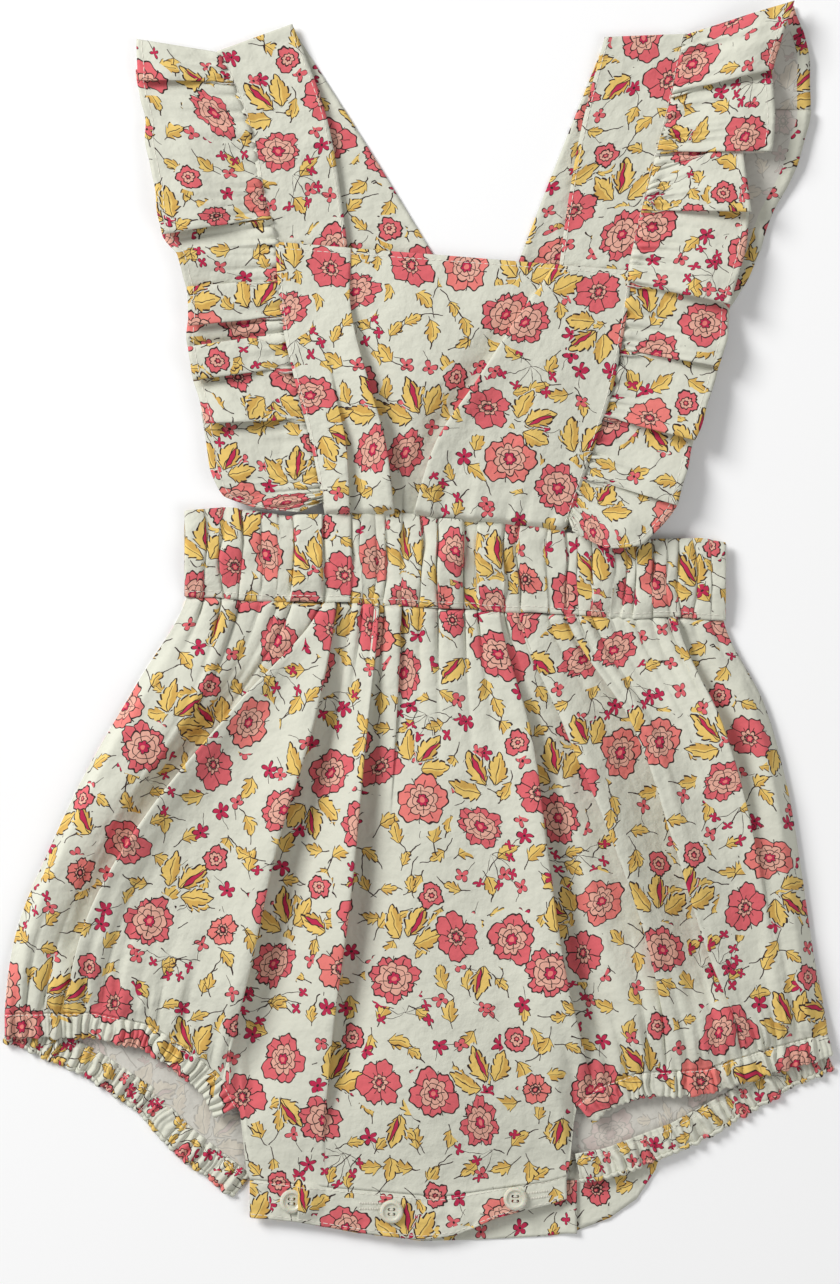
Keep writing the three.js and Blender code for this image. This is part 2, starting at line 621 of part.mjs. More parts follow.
// Ruffle stations: the table's rows with the seam's points, each fold's edge followed by its foot
function ruffleStations(table, edge) {
  const outwards = Math.sign(table[0].hem[0]);
  const rows = table.map((row) => ({
    ...row,
    seam: [lookUp(edge, 'edge', row.seam_y) + outwards * 2 * SEAM_GAP, row.seam_y],
  }));
  const stations = [];
  rows.forEach((row, k) => {
    stations.push({ seam: row.seam, hem: row.hem, lift: row.lift });
    if (row.past === undefined) return;
    const next = rows[k + 1];
    const way = Math.hypot(next.hem[0] - row.hem[0], next.hem[1] - row.hem[1]);
    const share = FOLD_RUN / way;
    stations.push({
      seam: row.seam.map((v, axis) => lerp(v, next.seam[axis], share)),
      hem: row.hem.map((v, axis) => lerp(v, next.hem[axis], share)),
      lift: row.past,
      foot: true,
    });
  });
  return stations;
}

// Ruffle points: lines along the seam, from the seam out to the hem
function rufflePoints(table, edge, rows, puff, seamRest, hemRest) {
  const stations = ruffleStations(table, edge);
  const columns = stations.flatMap((station, k) => {
    if (k === 0) return [{ ...station, swell: 0 }];
    if (station.foot) return [{ ...station, swell: 0 }];
    const before = stations[k - 1];
    const middle = {
      seam: station.seam.map((v, axis) => lerp(before.seam[axis], v, 0.5)),
      hem: station.hem.map((v, axis) => lerp(before.hem[axis], v, 0.5)),
      lift: lerp(before.lift, station.lift, 0.5),
      swell: puff,
    };
    return [middle, { ...station, swell: 0 }];
  });
  const grid = [];
  for (let j = 0; j <= rows; j += 1) {
    const w = j / rows;
    grid.push(columns.map((column) => {
      const x = lerp(column.seam[0], column.hem[0], w);
      const y = lerp(column.seam[1], column.hem[1], w);
      const rise = (column.lift + column.swell) * smoothstep(w, -0.1, 0.75);
      const start = seamRest(column.seam[1]);
      return new THREE.Vector3(x, y, lerp(start, hemRest(y), smoothstep(w, 0, 0.6)) + rise);
    }));
  }
  return grid;
}

function frontRuffle(side) {
  const edge = outerEdge(`${side}_front_strap`, side);
  const seamRest = (y) => lerp(BIB_REST, STRAP_REST + 0.2, smoothstep(y, 130, 150));
  const under = rufflePoints(RUFFLES[`${side}_ruffle_front`], edge, 6, 0.8, seamRest, () => STRAP_REST + 0.2);
  return sheetGeometry(under, thickened(under, WALL));
}

function backRuffle(side) {
  const edge = outerEdge(`${side}_back_strap`);
  const grid = rufflePoints(RUFFLES[`${side}_ruffle_back`], edge, 4, 0, () => 0, () => 0);
  const heights = grid.map((row) => row.map((p) => p.z));
  const flat = grid.map((row, j) => row.map((p, i) => {
    const point = new THREE.Vector3(p.x, p.y, 0);
    point.height = WALL + heights[j][i] * smoothstep(j, 2, 4);
    return point;
  }));
  return flatPanel(flat, (p) => p.height);
}

function placket(edgeColumn, panelHem, rest, wall) {
  const rows = 3;
  const left = PLACKET[0].x;
  const right = PLACKET[PLACKET.length - 1].x;
  const count = 20;
  const points = [];
  for (let j = 0; j <= rows; j += 1) {
    points.push(Array.from({ length: count + 1 }, (_, i) => {
      const x = lerp(left, right, i / count);
      const top = lookUp(panelHem, 'y', x) - 2 * SEAM_GAP;
      return new THREE.Vector3(x, lerp(top, lookUp(PLACKET, edgeColumn, x), j / rows), rest);
    }));
  }
  return flatPanel(points, () => wall);
}

const wasm = await Module();
wasm.setup();

// Solid from a three.js geometry: only positions, shared corners merged, no empty triangles
function asSolid(geometry) {
  const bare = geometry.clone();
  bare.deleteAttribute('normal');
  bare.deleteAttribute('uv');
  const merged = mergeVertices(bare, 1e-4);
  const old = Array.from(merged.index.array);
  const triVerts = [];
  for (let k = 0; k < old.length; k += 3) {
    const [a, b, c] = old.slice(k, k + 3);
    if (a !== b && b !== c && c !== a) triVerts.push(a, b, c);
  }
  return new wasm.Manifold(new wasm.Mesh({
    numProp: 3,
    vertProperties: new Float32Array(merged.attributes.position.array),
    triVerts: new Uint32Array(triVerts),
  }));
}

function asGeometry(solid) {
  const mesh = solid.getMesh();
  const geometry = new THREE.BufferGeometry();
  geometry.setAttribute('position', new THREE.BufferAttribute(mesh.vertProperties, 3));
  geometry.setIndex(new THREE.BufferAttribute(mesh.triVerts, 1));
  geometry.computeVertexNormals();
  return geometry;
}

// Round button with a raised rim, a recessed middle and four sewing holes
function buttonGeometry() {
  const well = BUTTON_HEIGHT - BUTTON_WELL;
  const profile = [
    [0, 0], [0.82, 0], [1, 0.3], [1, 0.62], [0.88, 0.92], [0.74, 1],
  ].map(([r, h]) => new THREE.Vector2(r * BUTTON_RADIUS, h * BUTTON_HEIGHT));
  profile.push(new THREE.Vector2(0.56 * BUTTON_RADIUS, well));
  profile.push(new THREE.Vector2(0, well));
  const lathe = new THREE.LatheGeometry(profile, BUTTON_SIDES);
  lathe.rotateX(Math.PI / 2);
  let solid = asSolid(lathe);
  for (const [sideX, sideY] of [[1, 1], [-1, 1], [-1, -1], [1, -1]]) {
    const hole = new THREE.CylinderGeometry(BUTTON_HOLE_RADIUS, BUTTON_HOLE_RADIUS, 3 * BUTTON_HEIGHT, 8);
    hole.rotateX(Math.PI / 2);
    hole.translate(sideX * BUTTON_HOLE_OFFSET, sideY * BUTTON_HOLE_OFFSET, 0);
    solid = solid.subtract(asSolid(hole));
  }
  return asGeometry(solid);
}

const romper = new THREE.Group();

function addPiece(name, geometry, colour) {
  const mesh = new THREE.Mesh(geometry, clothMaterial(colour));
  mesh.name = name;
  romper.add(mesh);
  return mesh;
}

addPiece('back_skirt', backSkirt(), WRONG_SIDE);
const frontPanel = frontSkirtPoints();
const frontHem = frontPanel[frontPanel.length - 1];
addPiece('front_skirt', sheetGeometry(frontPanel, thickened(frontPanel, WALL)), PRINT);
addPiece('back_waistband', backWaistband(), PRINT_SHADE);
addPiece('front_waistband', frontWaistband(), PRINT_SHADE);

// Leg casings. The right back one lies on the back panel until it reaches the panel's edge.
const rightBackRest = (p) => lerp(CROSSING_REST, 0, smoothstep(p.x, 97, 116));
addPiece('left_front_leg_casing', frontCasing(frontHem, -157.6, -69.6, 20), PRINT_SHADE);
addPiece('right_front_leg_casing', frontCasing(frontHem, 59.6, 154.6, 20), PRINT_SHADE);
addPiece('left_back_leg_casing', backCasing(-154.8, -65.2, 22, BACK_HEM, () => 0), PRINT_SHADE);
addPiece('right_back_leg_casing', backCasing(59.0, 153.6, 22, RIGHT_BACK_LEG, rightBackRest), PRINT_SHADE);

addPiece('back_placket', placket('back', BACK_HEM, 0, WALL), PRINT);
addPiece('front_placket', placket('front', FRONT_HEM, FRONT_REST, DOUBLE_WALL), PRINT);

addPiece('front_bib', frontBib(), PRINT);
const overCrossing = (x, y) => CROSSING_REST * smoothstep(-y, -124, -106);
addPiece('left_back_strap', strap('left_back_strap', () => 0), PRINT);
addPiece('right_back_strap', strap('right_back_strap', overCrossing), PRINT);
addPiece('left_front_strap', strap('left_front_strap', () => STRAP_REST), PRINT);
addPiece('right_front_strap', strap('right_front_strap', () => STRAP_REST), PRINT);

addPiece('left_ruffle_front', frontRuffle('left'), PRINT);
addPiece('right_ruffle_front', frontRuffle('right'), PRINT);
addPiece('left_ruffle_back', backRuffle('left'), WRONG_SIDE);
addPiece('right_ruffle_back', backRuffle('right'), WRONG_SIDE);

for (const { name, x, y, tilt } of BUTTONS) {
  const button = new THREE.Mesh(
    buttonGeometry(),
    new THREE.MeshStandardMaterial({ color: PEARL, roughness: 0.3 }),
  );
  button.name = name;
  const raised = BUTTON_RADIUS * Math.abs(Math.sin(tilt));
  button.position.set(x, y, FRONT_REST + DOUBLE_WALL + SEAM_GAP + raised);
  button.rotation.y = tilt;
  romper.add(button);
}

export default romper;
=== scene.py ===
"""Baby romper laid flat on its back, front side up, on a pale floor.

Every piece of cloth is a thin shell in the place of its solid. Shapes are worked out in
millimetres in the frame's axes: +X to the right, +Y to the shoulders, +Z up from the floor.
"""
import math

import bpy
import numpy as np
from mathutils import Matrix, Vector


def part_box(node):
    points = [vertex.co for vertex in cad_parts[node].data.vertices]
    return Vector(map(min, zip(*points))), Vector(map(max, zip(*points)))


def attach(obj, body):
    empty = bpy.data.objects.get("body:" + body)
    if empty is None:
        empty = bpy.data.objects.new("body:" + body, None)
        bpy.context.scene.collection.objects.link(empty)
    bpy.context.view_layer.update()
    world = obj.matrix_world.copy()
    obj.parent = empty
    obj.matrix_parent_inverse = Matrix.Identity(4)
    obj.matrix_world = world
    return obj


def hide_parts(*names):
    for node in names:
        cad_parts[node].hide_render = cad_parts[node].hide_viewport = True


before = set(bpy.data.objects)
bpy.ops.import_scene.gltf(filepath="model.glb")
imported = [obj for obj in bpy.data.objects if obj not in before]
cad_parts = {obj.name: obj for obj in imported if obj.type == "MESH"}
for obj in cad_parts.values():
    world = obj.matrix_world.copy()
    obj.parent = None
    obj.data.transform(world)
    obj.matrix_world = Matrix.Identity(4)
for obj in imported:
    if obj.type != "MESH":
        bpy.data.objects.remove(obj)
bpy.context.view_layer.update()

MM = 0.001

# Cloth
CLOTH = 0.4  # thickness of the cotton
WALL = 1.2  # wall of the solids that the shells follow
FRONT_REST = 1.8  # underside of the front panels over the back ones
FRONT_LEG_REST = 2.8
STRAP_REST = 1.5
BIB_REST = 3.0
ROLL = 0.5  # radius of the cloth's bend at a fold's edge
CASING_DEPTH = 9.4
SEAM_GAP = 0.3
SEAM_TUCK = 1.4  # how far a panel's edge runs in under the piece that it is sewn to

# Waistband: its top edge and the seam to the skirt, from the left end to the right end
BAND = {
    "x": [-89.4, -74.0, -50.0, -27.0, -6.0, 5.0, 38.0, 64.0, 84.0, 106.0, 116.0],
    "top": [42.0, 43.6, 40.2, 40.8, 41.6, 39.3, 36.6, 33.0, 31.4, 32.0, 30.1],
    "seam": [9.6, 8.4, 7.4, 7.0, 5.8, 5.0, 3.2, 2.0, 1.4, 0.8, 0.5],
}
BAND_VALLEYS = [
    -82, -75.4, -68.6, -60.2, -54.1, -48.8, -37, -26, -21.9, -17.3, -13.5, -7, 0, 6.7, 16.9,
    21.9, 32.1, 37.8, 48.5, 54.9, 59.9, 65.2, 72.8, 77, 81.1, 88, 94, 98.4, 103.9, 110.4,
]

# Side edges of the skirt at equal steps from the waist to the leg
SKIRT_SIDES = {
    "left": [-88.6, -106.7, -125.1, -140.3, -153.0, -157.6],
    "right": [115.2, 130.5, 139.3, 144.6, 149.2, 154.6],
}
FRONT_HEM = {
    "x": [-157.6, -123.7, -102.8, -87.6, -74.3, -68.2, -65.5, -35.9, 7.4, 48.1, 56.4, 58.9,
          67.5, 82.3, 108.5, 132.4, 154.6],
    "y": [-148.5, -148.1, -152.6, -161.8, -174.4, -186.1, -211.2, -214.2, -218.0, -212.3,
          -210.0, -183.4, -176.2, -171.0, -169.5, -161.6, -155.8],
}
BACK_HEM = {
    "x": [-157.6, -141.6, -122.9, -102.8, -88.3, -70.5, -64.0, 0.0, 56.4, 58.4, 72.0, 82.3,
          89.5, 94.5, 118.4, 137.0, 154.6],
    "y": [-148.8, -154.9, -164.0, -177.3, -192.6, -206.6, -211.9, -216.5, -212.0, -231.6,
          -226.4, -219.1, -208.0, -191.9, -179.2, -168.2, -160.8],
}
RIGHT_BACK_LEG = {
    "x": [59.0, 70.5, 82.7, 96.0, 118.4, 137.0, 154.6],
    "y": [-203.2, -201.0, -196.4, -191.4, -179.2, -168.2, -160.8],
}

# Folds of the front skirt: x, lift and hidden depth at equal steps from the waist to the hem
FRONT_FOLDS = [
    dict(x=[-75.4, -87.6, -114.2, -135.5, -144.6], lift=[1.0, 2.4, 2.8, 2.0, 0.0], on_top="none"),
    dict(x=[-37.4, -70.1, -102.0, -125.0, -134.5], lift=[1.8, 5.0, 6.0, 4.2, 0.0],
         on_top="right", tuck=[4, 8, 9, 6, 0]),
    dict(x=[-31.6, -40.0, -53.5, -63.5, -73.6], lift=[2.2, 4.4, 5.0, 4.0, 0.2],
         on_top="left", tuck=[4, 6, 7, 6, 0]),
    dict(x=[-15.4, -20.7, -26.0, -33.2, -37.4], lift=[1.5, 3.8, 4.8, 2.4, 0.0],
         on_top="left", tuck=[3, 6, 7, 3.5, 0]),
    dict(x=[-7.0, -9.5, -13.0, -15.0, -17.0], lift=[2.6, 1.2, 0.0, 0.0, 0.0],
         on_top="left", tuck=[3, 1.2, 0, 0, 0]),
    dict(x=[3.0, 3.2, 3.2, 3.2, 3.2], lift=[0.8, 0.7, 0.5, 0.7, 0.4], on_top="none"),
    dict(x=[14.5, 15.5, 17.3, 19.0, 20.0], lift=[0.6, 0.2, 0.0, 0.8, 0.4], on_top="none"),
    dict(x=[29.4, 42.2, 48.5, 55.3, 65.2], lift=[1.0, 3.0, 5.0, 4.6, 0.2],
         on_top="left", tuck=[2, 5, 8, 7, 0]),
    dict(x=[37.0, 54.5, 72.8, 87.2, 94.0], lift=[1.0, 3.6, 4.4, 2.2, 0.2],
         on_top="right", tuck=[1.5, 4.5, 5, 2, 0]),
    dict(x=[55.3, 80.4, 94.8, 107.7, 123.3], lift=[2.0, 4.6, 5.6, 4.0, 0.0],
         on_top="right", tuck=[3, 6, 7, 5, 0]),
    dict(x=[97.1, 114.6, 126.0, 132.8, 138.5], lift=[1.8, 2.5, 1.2, 0.4, 0.2],
         on_top="left", tuck=[2, 3, 1, 0, 0]),
    dict(x=[107.3, 124.5, 134.8, 141.0, 147.4], lift=[0.5, 1.0, 1.4, 1.0, 0.5], on_top="none"),
]
SKIRT_REACH = (4, 15)  # how far a fold's lift reaches, at the waist and at the hem

# Soft folds of the hidden back skirt, lower and few
BACK_FOLDS = [
    dict(x=[-52.0, -70.0, -88.0, -101.0, -108.0], lift=[0.5, 0.8, 0.7, 0.5, 0.3], on_top="none"),
    dict(x=[-20.0, -26.0, -34.0, -38.0, -41.0], lift=[0.5, 0.7, 0.4, 0.6, 0.3], on_top="none"),
    dict(x=[16.0, 18.0, 17.0, 21.0, 24.0], lift=[0.4, 0.6, 0.8, 0.5, 0.3], on_top="none"),
    dict(x=[46.0, 61.0, 72.0, 82.0, 90.0], lift=[0.5, 0.8, 0.6, 0.7, 0.2], on_top="none"),
    dict(x=[84.0, 101.0, 112.0, 120.0, 126.0], lift=[0.5, 0.6, 0.8, 0.4, 0.3], on_top="none"),
]

# Side edges and folds of the bib, from its top to the waistband
BIB_SIDES = {
    "left": [-54.9, -52.8, -48.0, -41.4, -35.8],
    "left_y": [144.2, 117.0, 94.0, 68.5, 41.0],
    "right": [80.4, 78.0, 73.0, 65.5, 54.6],
    "right_y": [133.3, 114.5, 89.0, 66.0, 34.6],
}
BIB_FOLDS = [
    dict(x=[-39.0, -37.5, -33.5, -28.0, -26.5], lift=[0.0, 0.0, 0.6, 1.6, 2.2],
         on_top="left", tuck=[0, 0, 0.4, 1.8, 2.4]),
    dict(x=[-26.8, -25.8, -19.9, -13.0, -9.5], lift=[0.4, 1.4, 2.6, 3.4, 3.4],
         on_top="left", tuck=[0, 0.9, 2.6, 4.4, 5]),
    dict(x=[52.0, 36.7, 21.1, 5.5, -3.0], lift=[0.3, 1.7, 3.0, 3.8, 3.4],
         on_top="right", tuck=[0, 1.1, 3, 4.6, 5]),
    dict(x=[57.0, 47.0, 34.0, 24.5, 19.0], lift=[0.3, 0.8, 0.8, 1.4, 1.8], on_top="none"),
    dict(x=[62.0, 56.0, 48.0, 42.0, 35.0], lift=[0.2, 0.6, 1.2, 1.6, 1.0], on_top="none"),
]
BIB_REACH = (9, 9)

# Front leg casings: their stretch of the hem and their gathers, which run up into the skirt
FRONT_LEGS = {
    "left": dict(from_x=-157.6, to_x=-69.4, gathers=40, seed=31),
    "right": dict(from_x=59.4, to_x=154.6, gathers=42, seed=41),
}
LEG_SEAM = 3.5  # height of the cloth in a valley of the front casing's seam
LEG_GATHER = 1.5
PLACKET_SEAM = 3.6
FRONT_PRINT = (11, 40)  # where the front panel's cut lies in the print

# Edges of the straps at equal steps from the shoulder down
STRAPS = {
    "left_front_strap": dict(
        outer_x=[-77.0, -65.6, -60.0, -52.4], outer_y=[216.6, 187.8, 161.2, 135.8],
        inner_x=[-48.5, -37.0, -31.0, -26.8], inner_y=[227.0, 197.3, 169.0, 135.8]),
    "right_front_strap": dict(
        outer_x=[101.4, 95.0, 87.2, 78.8], outer_y=[223.2, 193.2, 164.0, 127.0],
        inner_x=[70.1, 61.8, 56.6, 51.8], inner_y=[222.0, 190.0, 162.0, 127.4]),
    "left_back_strap": dict(
        outer_x=[-76.6, -41.4, -6.5, 29.6], outer_y=[215.9, 158.0, 101.5, 38.3],
        inner_x=[-48.9, -12.2, 25.8, 66.6], inner_y=[226.2, 168.0, 104.0, 34.0]),
    "right_back_strap": dict(
        outer_x=[101.2, 79.0, 56.2, 32.4], outer_y=[222.4, 162.0, 101.5, 38.2],
        inner_x=[70.5, 46.5, 23.6, 1.6], inner_y=[221.3, 160.5, 100.0, 41.0]),
}

# Ruffle folds from the shoulder to the waist: height on the seam, place on the hem, and the
# lift of the cloth before and past the fold's edge
RUFFLES = {
    "left_ruffle_front": [
        dict(seam_y=216.4, hem=(-107.2, 221.0), lift=1.2),
        dict(seam_y=205.0, hem=(-106.8, 204.9), lift=4.5, past=2.0),
        dict(seam_y=191.0, hem=(-105.0, 191.5), lift=1.6),
        dict(seam_y=171.0, hem=(-102.6, 172.5), lift=4.0),
        dict(seam_y=153.0, hem=(-97.7, 146.4), lift=6.5, past=1.0),
        dict(seam_y=140.0, hem=(-91.8, 139.5), lift=4.2),
        dict(seam_y=130.0, hem=(-88.7, 127.0), lift=2.6, past=3.8),
        dict(seam_y=115.5, hem=(-88.2, 112.0), lift=4.5, past=1.4),
        dict(seam_y=109.5, hem=(-88.0, 104.2), lift=1.0, past=4.2),
        dict(seam_y=96.5, hem=(-85.6, 91.5), lift=5.0, past=1.8),
        dict(seam_y=76.5, hem=(-81.8, 75.0), lift=5.6, past=1.4),
        dict(seam_y=60.0, hem=(-79.0, 57.5), lift=3.0),
        dict(seam_y=51.5, hem=(-73.8, 47.6), lift=3.4),
        dict(seam_y=47.8, hem=(-62.0, 43.2), lift=2.4),
        dict(seam_y=45.2, hem=(-45.5, 41.6), lift=1.4),
    ],
    "right_ruffle_front": [
        dict(seam_y=223.2, hem=(141.4, 235.2), lift=4.0),
        dict(seam_y=212.0, hem=(137.0, 221.0), lift=7.0),
        dict(seam_y=200.5, hem=(133.4, 209.0), lift=5.0, past=2.4),
        dict(seam_y=187.5, hem=(134.8, 195.0), lift=4.8),
        dict(seam_y=178.0, hem=(132.6, 178.0), lift=6.0, past=2.0),
        dict(seam_y=168.0, hem=(121.6, 183.0), lift=3.6),
        dict(seam_y=156.0, hem=(125.4, 155.0), lift=6.2, past=2.4),
        dict(seam_y=141.0, hem=(123.2, 138.5), lift=4.4),
        dict(seam_y=128.0, hem=(117.4, 120.0), lift=7.0, past=1.2),
        dict(seam_y=112.0, hem=(116.6, 107.5), lift=4.0),
        dict(seam_y=103.0, hem=(113.4, 96.5), lift=4.8, past=2.0),
        dict(seam_y=87.0, hem=(109.4, 84.0), lift=4.2),
        dict(seam_y=77.5, hem=(104.2, 68.6), lift=6.0, past=2.0),
        dict(seam_y=66.0, hem=(101.2, 58.0), lift=4.0),
        dict(seam_y=55.0, hem=(97.4, 44.0), lift=5.0, past=3.4),
        dict(seam_y=47.0, hem=(84.0, 29.4), lift=6.2),
        dict(seam_y=42.0, hem=(70.0, 27.8), lift=6.0),
        dict(seam_y=38.6, hem=(57.6, 34.4), lift=5.6),
    ],
    "left_ruffle_back": [
        dict(seam_y=215.5, hem=(-104.5, 219.0), lift=0.2),
        dict(seam_y=197.0, hem=(-104.2, 199.0), lift=0.5, past=0.1),
        dict(seam_y=179.0, hem=(-101.6, 180.0), lift=0.4),
        dict(seam_y=161.0, hem=(-98.0, 158.0), lift=0.6, past=0.1),
        dict(seam_y=144.0, hem=(-90.0, 138.0), lift=0.3),
        dict(seam_y=128.0, hem=(-72.0, 117.0), lift=0.4),
        dict(seam_y=116.0, hem=(-40.0, 106.5), lift=0.2),
    ],
    "right_ruffle_back": [
        dict(seam_y=222.0, hem=(142.4, 234.0), lift=0.4),
        dict(seam_y=211.0, hem=(147.6, 214.0), lift=2.0),
        dict(seam_y=194.5, hem=(147.8, 194.0), lift=0.8, past=1.8),
        dict(seam_y=178.5, hem=(143.6, 173.0), lift=2.2),
        dict(seam_y=163.5, hem=(134.2, 156.0), lift=0.8),
        dict(seam_y=146.5, hem=(129.0, 141.0), lift=1.6),
        dict(seam_y=132.0, hem=(118.0, 119.5), lift=0.5),
        dict(seam_y=114.0, hem=(82.0, 105.6), lift=0.2),
    ],
}

# Lower edges of the crotch plackets
PLACKET = {
    "x": [-64.6, -47.3, -22.6, 0.9, 14.0, 29.1, 49.2, 55.6],
    "front": [-225.8, -227.5, -231.7, -234.5, -232.6, -226.0, -221.0, -218.8],
    "back": [-226.0, -227.9, -232.3, -235.1, -234.8, -234.3, -233.1, -232.2],
}

# Camera, straight above the garment. The picture is 840 by 1284 at 0.38 mm a pixel.
PICTURE = (840, 1284)
PIXEL = 0.38
CAMERA_HEIGHT = 2000.0
PICTURE_CENTRE = (0.0, -7.6)


def smooth(t):
    t = np.clip(t, 0.0, 1.0)
    return t * t * (3 - 2 * t)


def through(values, t):
    """Smooth curve through values at equal steps of t from 0 to 1."""
    v = np.asarray(values, float)
    place = np.clip(t, 0, 1) * (len(v) - 1)
    k = np.minimum(place.astype(int) if hasattr(place, "astype") else int(place), len(v) - 2)
    f = place - k
    a, b = v[k], v[k + 1]
    slope_a = (b - v[np.maximum(k - 1, 0)]) / 2
    slope_b = (v[np.minimum(k + 2, len(v) - 1)] - a) / 2
    return (a * (2 * f**3 - 3 * f**2 + 1) + slope_a * (f**3 - 2 * f**2 + f)
            + b * (3 * f**2 - 2 * f**3) + slope_b * (f**3 - f**2))


def look_up(table, column, x):
    return np.interp(x, table["x"], table[column])


def noise(x, y, cell, seed):
    """Smooth noise from -1 to 1 whose bumps are about one cell apart."""
    grid = np.random.default_rng(seed).uniform(-1, 1, (64, 64))
    u, v = x / cell + 31.7, y / cell + 17.3
    i, j = np.floor(u).astype(int), np.floor(v).astype(int)
    fu, fv = smooth(u - i), smooth(v - j)
    g = lambda a, b: grid[a % 64, b % 64]
    near = g(i, j) * (1 - fu) + g(i + 1, j) * fu
    far = g(i, j + 1) * (1 - fu) + g(i + 1, j + 1) * fu
    return near * (1 - fv) + far * fv


def crumple(x, y, seed, size=1.0):
    """Small uneven hollows of laundered cotton, in millimetres."""
    warp = 6 * noise(x, y, 23, seed)
    return size * (0.42 * noise(x + warp, y, 26, seed + 1) + 0.2 * noise(x, y + warp, 11, seed + 2)
                   + 0.07 * noise(x, y, 4.5, seed + 3))


def folded_columns(folds, left, right, t, width):
    """Columns of a folded panel from left to right in the cloth's order.

    left, right and t are one value a row. Returns x (rows by columns), and for each column the
    fold that it turns in, or -1, and how much of that fold's lift it has.
    """
    x_keys, owners, levels = [left], [-1], [0.0]
    for k, fold in enumerate(folds):
        x = through(fold["x"], t)
        if fold["on_top"] == "none":
            x_keys.append(x)
            owners.append(-1)
            levels.append(0.0)
            continue
        lift = np.maximum(through(fold["lift"], t), 0.05)
        tuck = np.clip(through(fold["tuck"], t), 0.05, 1.5 * lift + 0.05)
        roll = np.minimum(np.minimum(ROLL, lift / 5), tuck / 4)
        side = -1 if fold["on_top"] == "left" else 1
        turn = [(roll, 1.0), (0 * roll, 0.9), (roll, 0.78), (tuck * 0.5, 0.5),
                (tuck - roll, 0.2), (tuck, 0.1), (tuck - roll, 0.0)]
        closed = smooth(through(fold["lift"], t) / 1.6)
        for n, (back, level) in enumerate(turn if side < 0 else turn[::-1]):
            x_keys.append(x + side * back * closed + 0.5 * (n - 3) * (1 - closed) + 0.01 * n)
            owners.append(k)
            levels.append(level)
    x_keys.append(right)
    owners.append(-1)
    levels.append(0.0)
    columns, owner, level = [x_keys[0]], [-1], [0.0]
    for n in range(1, len(x_keys)):
        same_turn = owners[n] >= 0 and owners[n] == owners[n - 1]
        span = np.abs(x_keys[n] - x_keys[n - 1]).max()
        count = 1 if same_turn else max(1, int(round(span / width)))
        for m in range(1, count + 1):
            columns.append(x_keys[n - 1] + (x_keys[n] - x_keys[n - 1]) * m / count)
            last = m == count
            owner.append(owners[n] if last else -1)
            level.append(levels[n] if last else 0.0)
    return np.stack(columns, axis=1), np.array(owner), np.array(level)


def fold_height(folds, x, t, reach, owner, level):
    """Lift that the folds give each point. A column in a fold's turn has its own share of it."""
    height = np.zeros_like(x)
    for k, fold in enumerate(folds):
        lift = np.maximum(through(fold["lift"], t), 0)[:, None]
        away = x - through(fold["x"], t)[:, None]
        hump = lift * np.exp(-((away / reach[:, None]) ** 2))
        if fold["on_top"] == "none":
            height += hump
            continue
        top = away < 1e-6 if fold["on_top"] == "left" else away > -1e-6
        share = np.where(owner[None, :] == k, level[None, :], covered_side(owner, k, fold, top))
        height += hump * share
    return height


def covered_side(owner, k, fold, top):
    """Which columns lie on the upper side of fold k: by their order, so that cloth that runs on
    under the fold stays low."""
    turn = np.flatnonzero(owner == k)
    index = np.arange(len(owner))[None, :]
    before = index < turn[0]
    after = index > turn[-1]
    upper = before if fold["on_top"] == "left" else after
    return np.where(upper, 1.0, 0.0) * np.ones_like(top, dtype=float)


def hollows(folds, x, t, owner, depth, reach):
    """How much lower the cloth lies beside the foot of each fold."""
    low = np.zeros_like(x)
    index = np.arange(x.shape[1])[None, :]
    for k, fold in enumerate(folds):
        if fold["on_top"] == "none":
            continue
        turn = np.flatnonzero(owner == k)
        left_on_top = fold["on_top"] == "left"
        beyond = index >= turn[-1] - 1 if left_on_top else index <= turn[0] + 1
        away = np.abs(x - through(fold["x"], t)[:, None])
        fade = smooth(through(fold["lift"], t) / 3.0)[:, None]
        near = np.exp(-((np.maximum(away - 2, 0) / reach) ** 1.6))
        low = np.maximum(low, fade * near * beyond)
    return depth * low


def spread_ridges(edges, place):
    """How far to move each column so that cloth shows on the ridges and hides in valleys."""
    edges = np.asarray(edges, float)
    k = np.clip(np.searchsorted(edges, place, side="right") - 1, 0, len(edges) - 2)
    width = edges[k + 1] - edges[k]
    f = np.clip((place - edges[k]) / width, 0, 1)
    return 0.125 * width * np.sin(2 * math.pi * (f - 0.5))


def along(points):
    """Length along each row of points, and down each column."""
    across = np.linalg.norm(np.diff(points, axis=1), axis=2)
    down = np.linalg.norm(np.diff(points, axis=0), axis=2)
    s = np.concatenate([np.zeros((points.shape[0], 1)), np.cumsum(across, axis=1)], axis=1)
    v = np.concatenate([np.zeros((1, points.shape[1])), np.cumsum(down, axis=0)], axis=0)
    return s, v


def fanned(points, v):
    """Lengths down the columns, begun later where columns fan out, so that the weft stays
    square to them."""
    rows = len(points)
    run = points[int(rows * 0.85)] - points[int(rows * 0.15)]
    lean = -run[:, 0] / np.hypot(run[:, 0], run[:, 1])
    middle = points[rows // 2, :, 0]
    step = np.diff(middle)
    start = np.concatenate([[0], np.cumsum(-step * (lean[1:] + lean[:-1]) / 2)])
    return v + (start - start.min())[None, :]


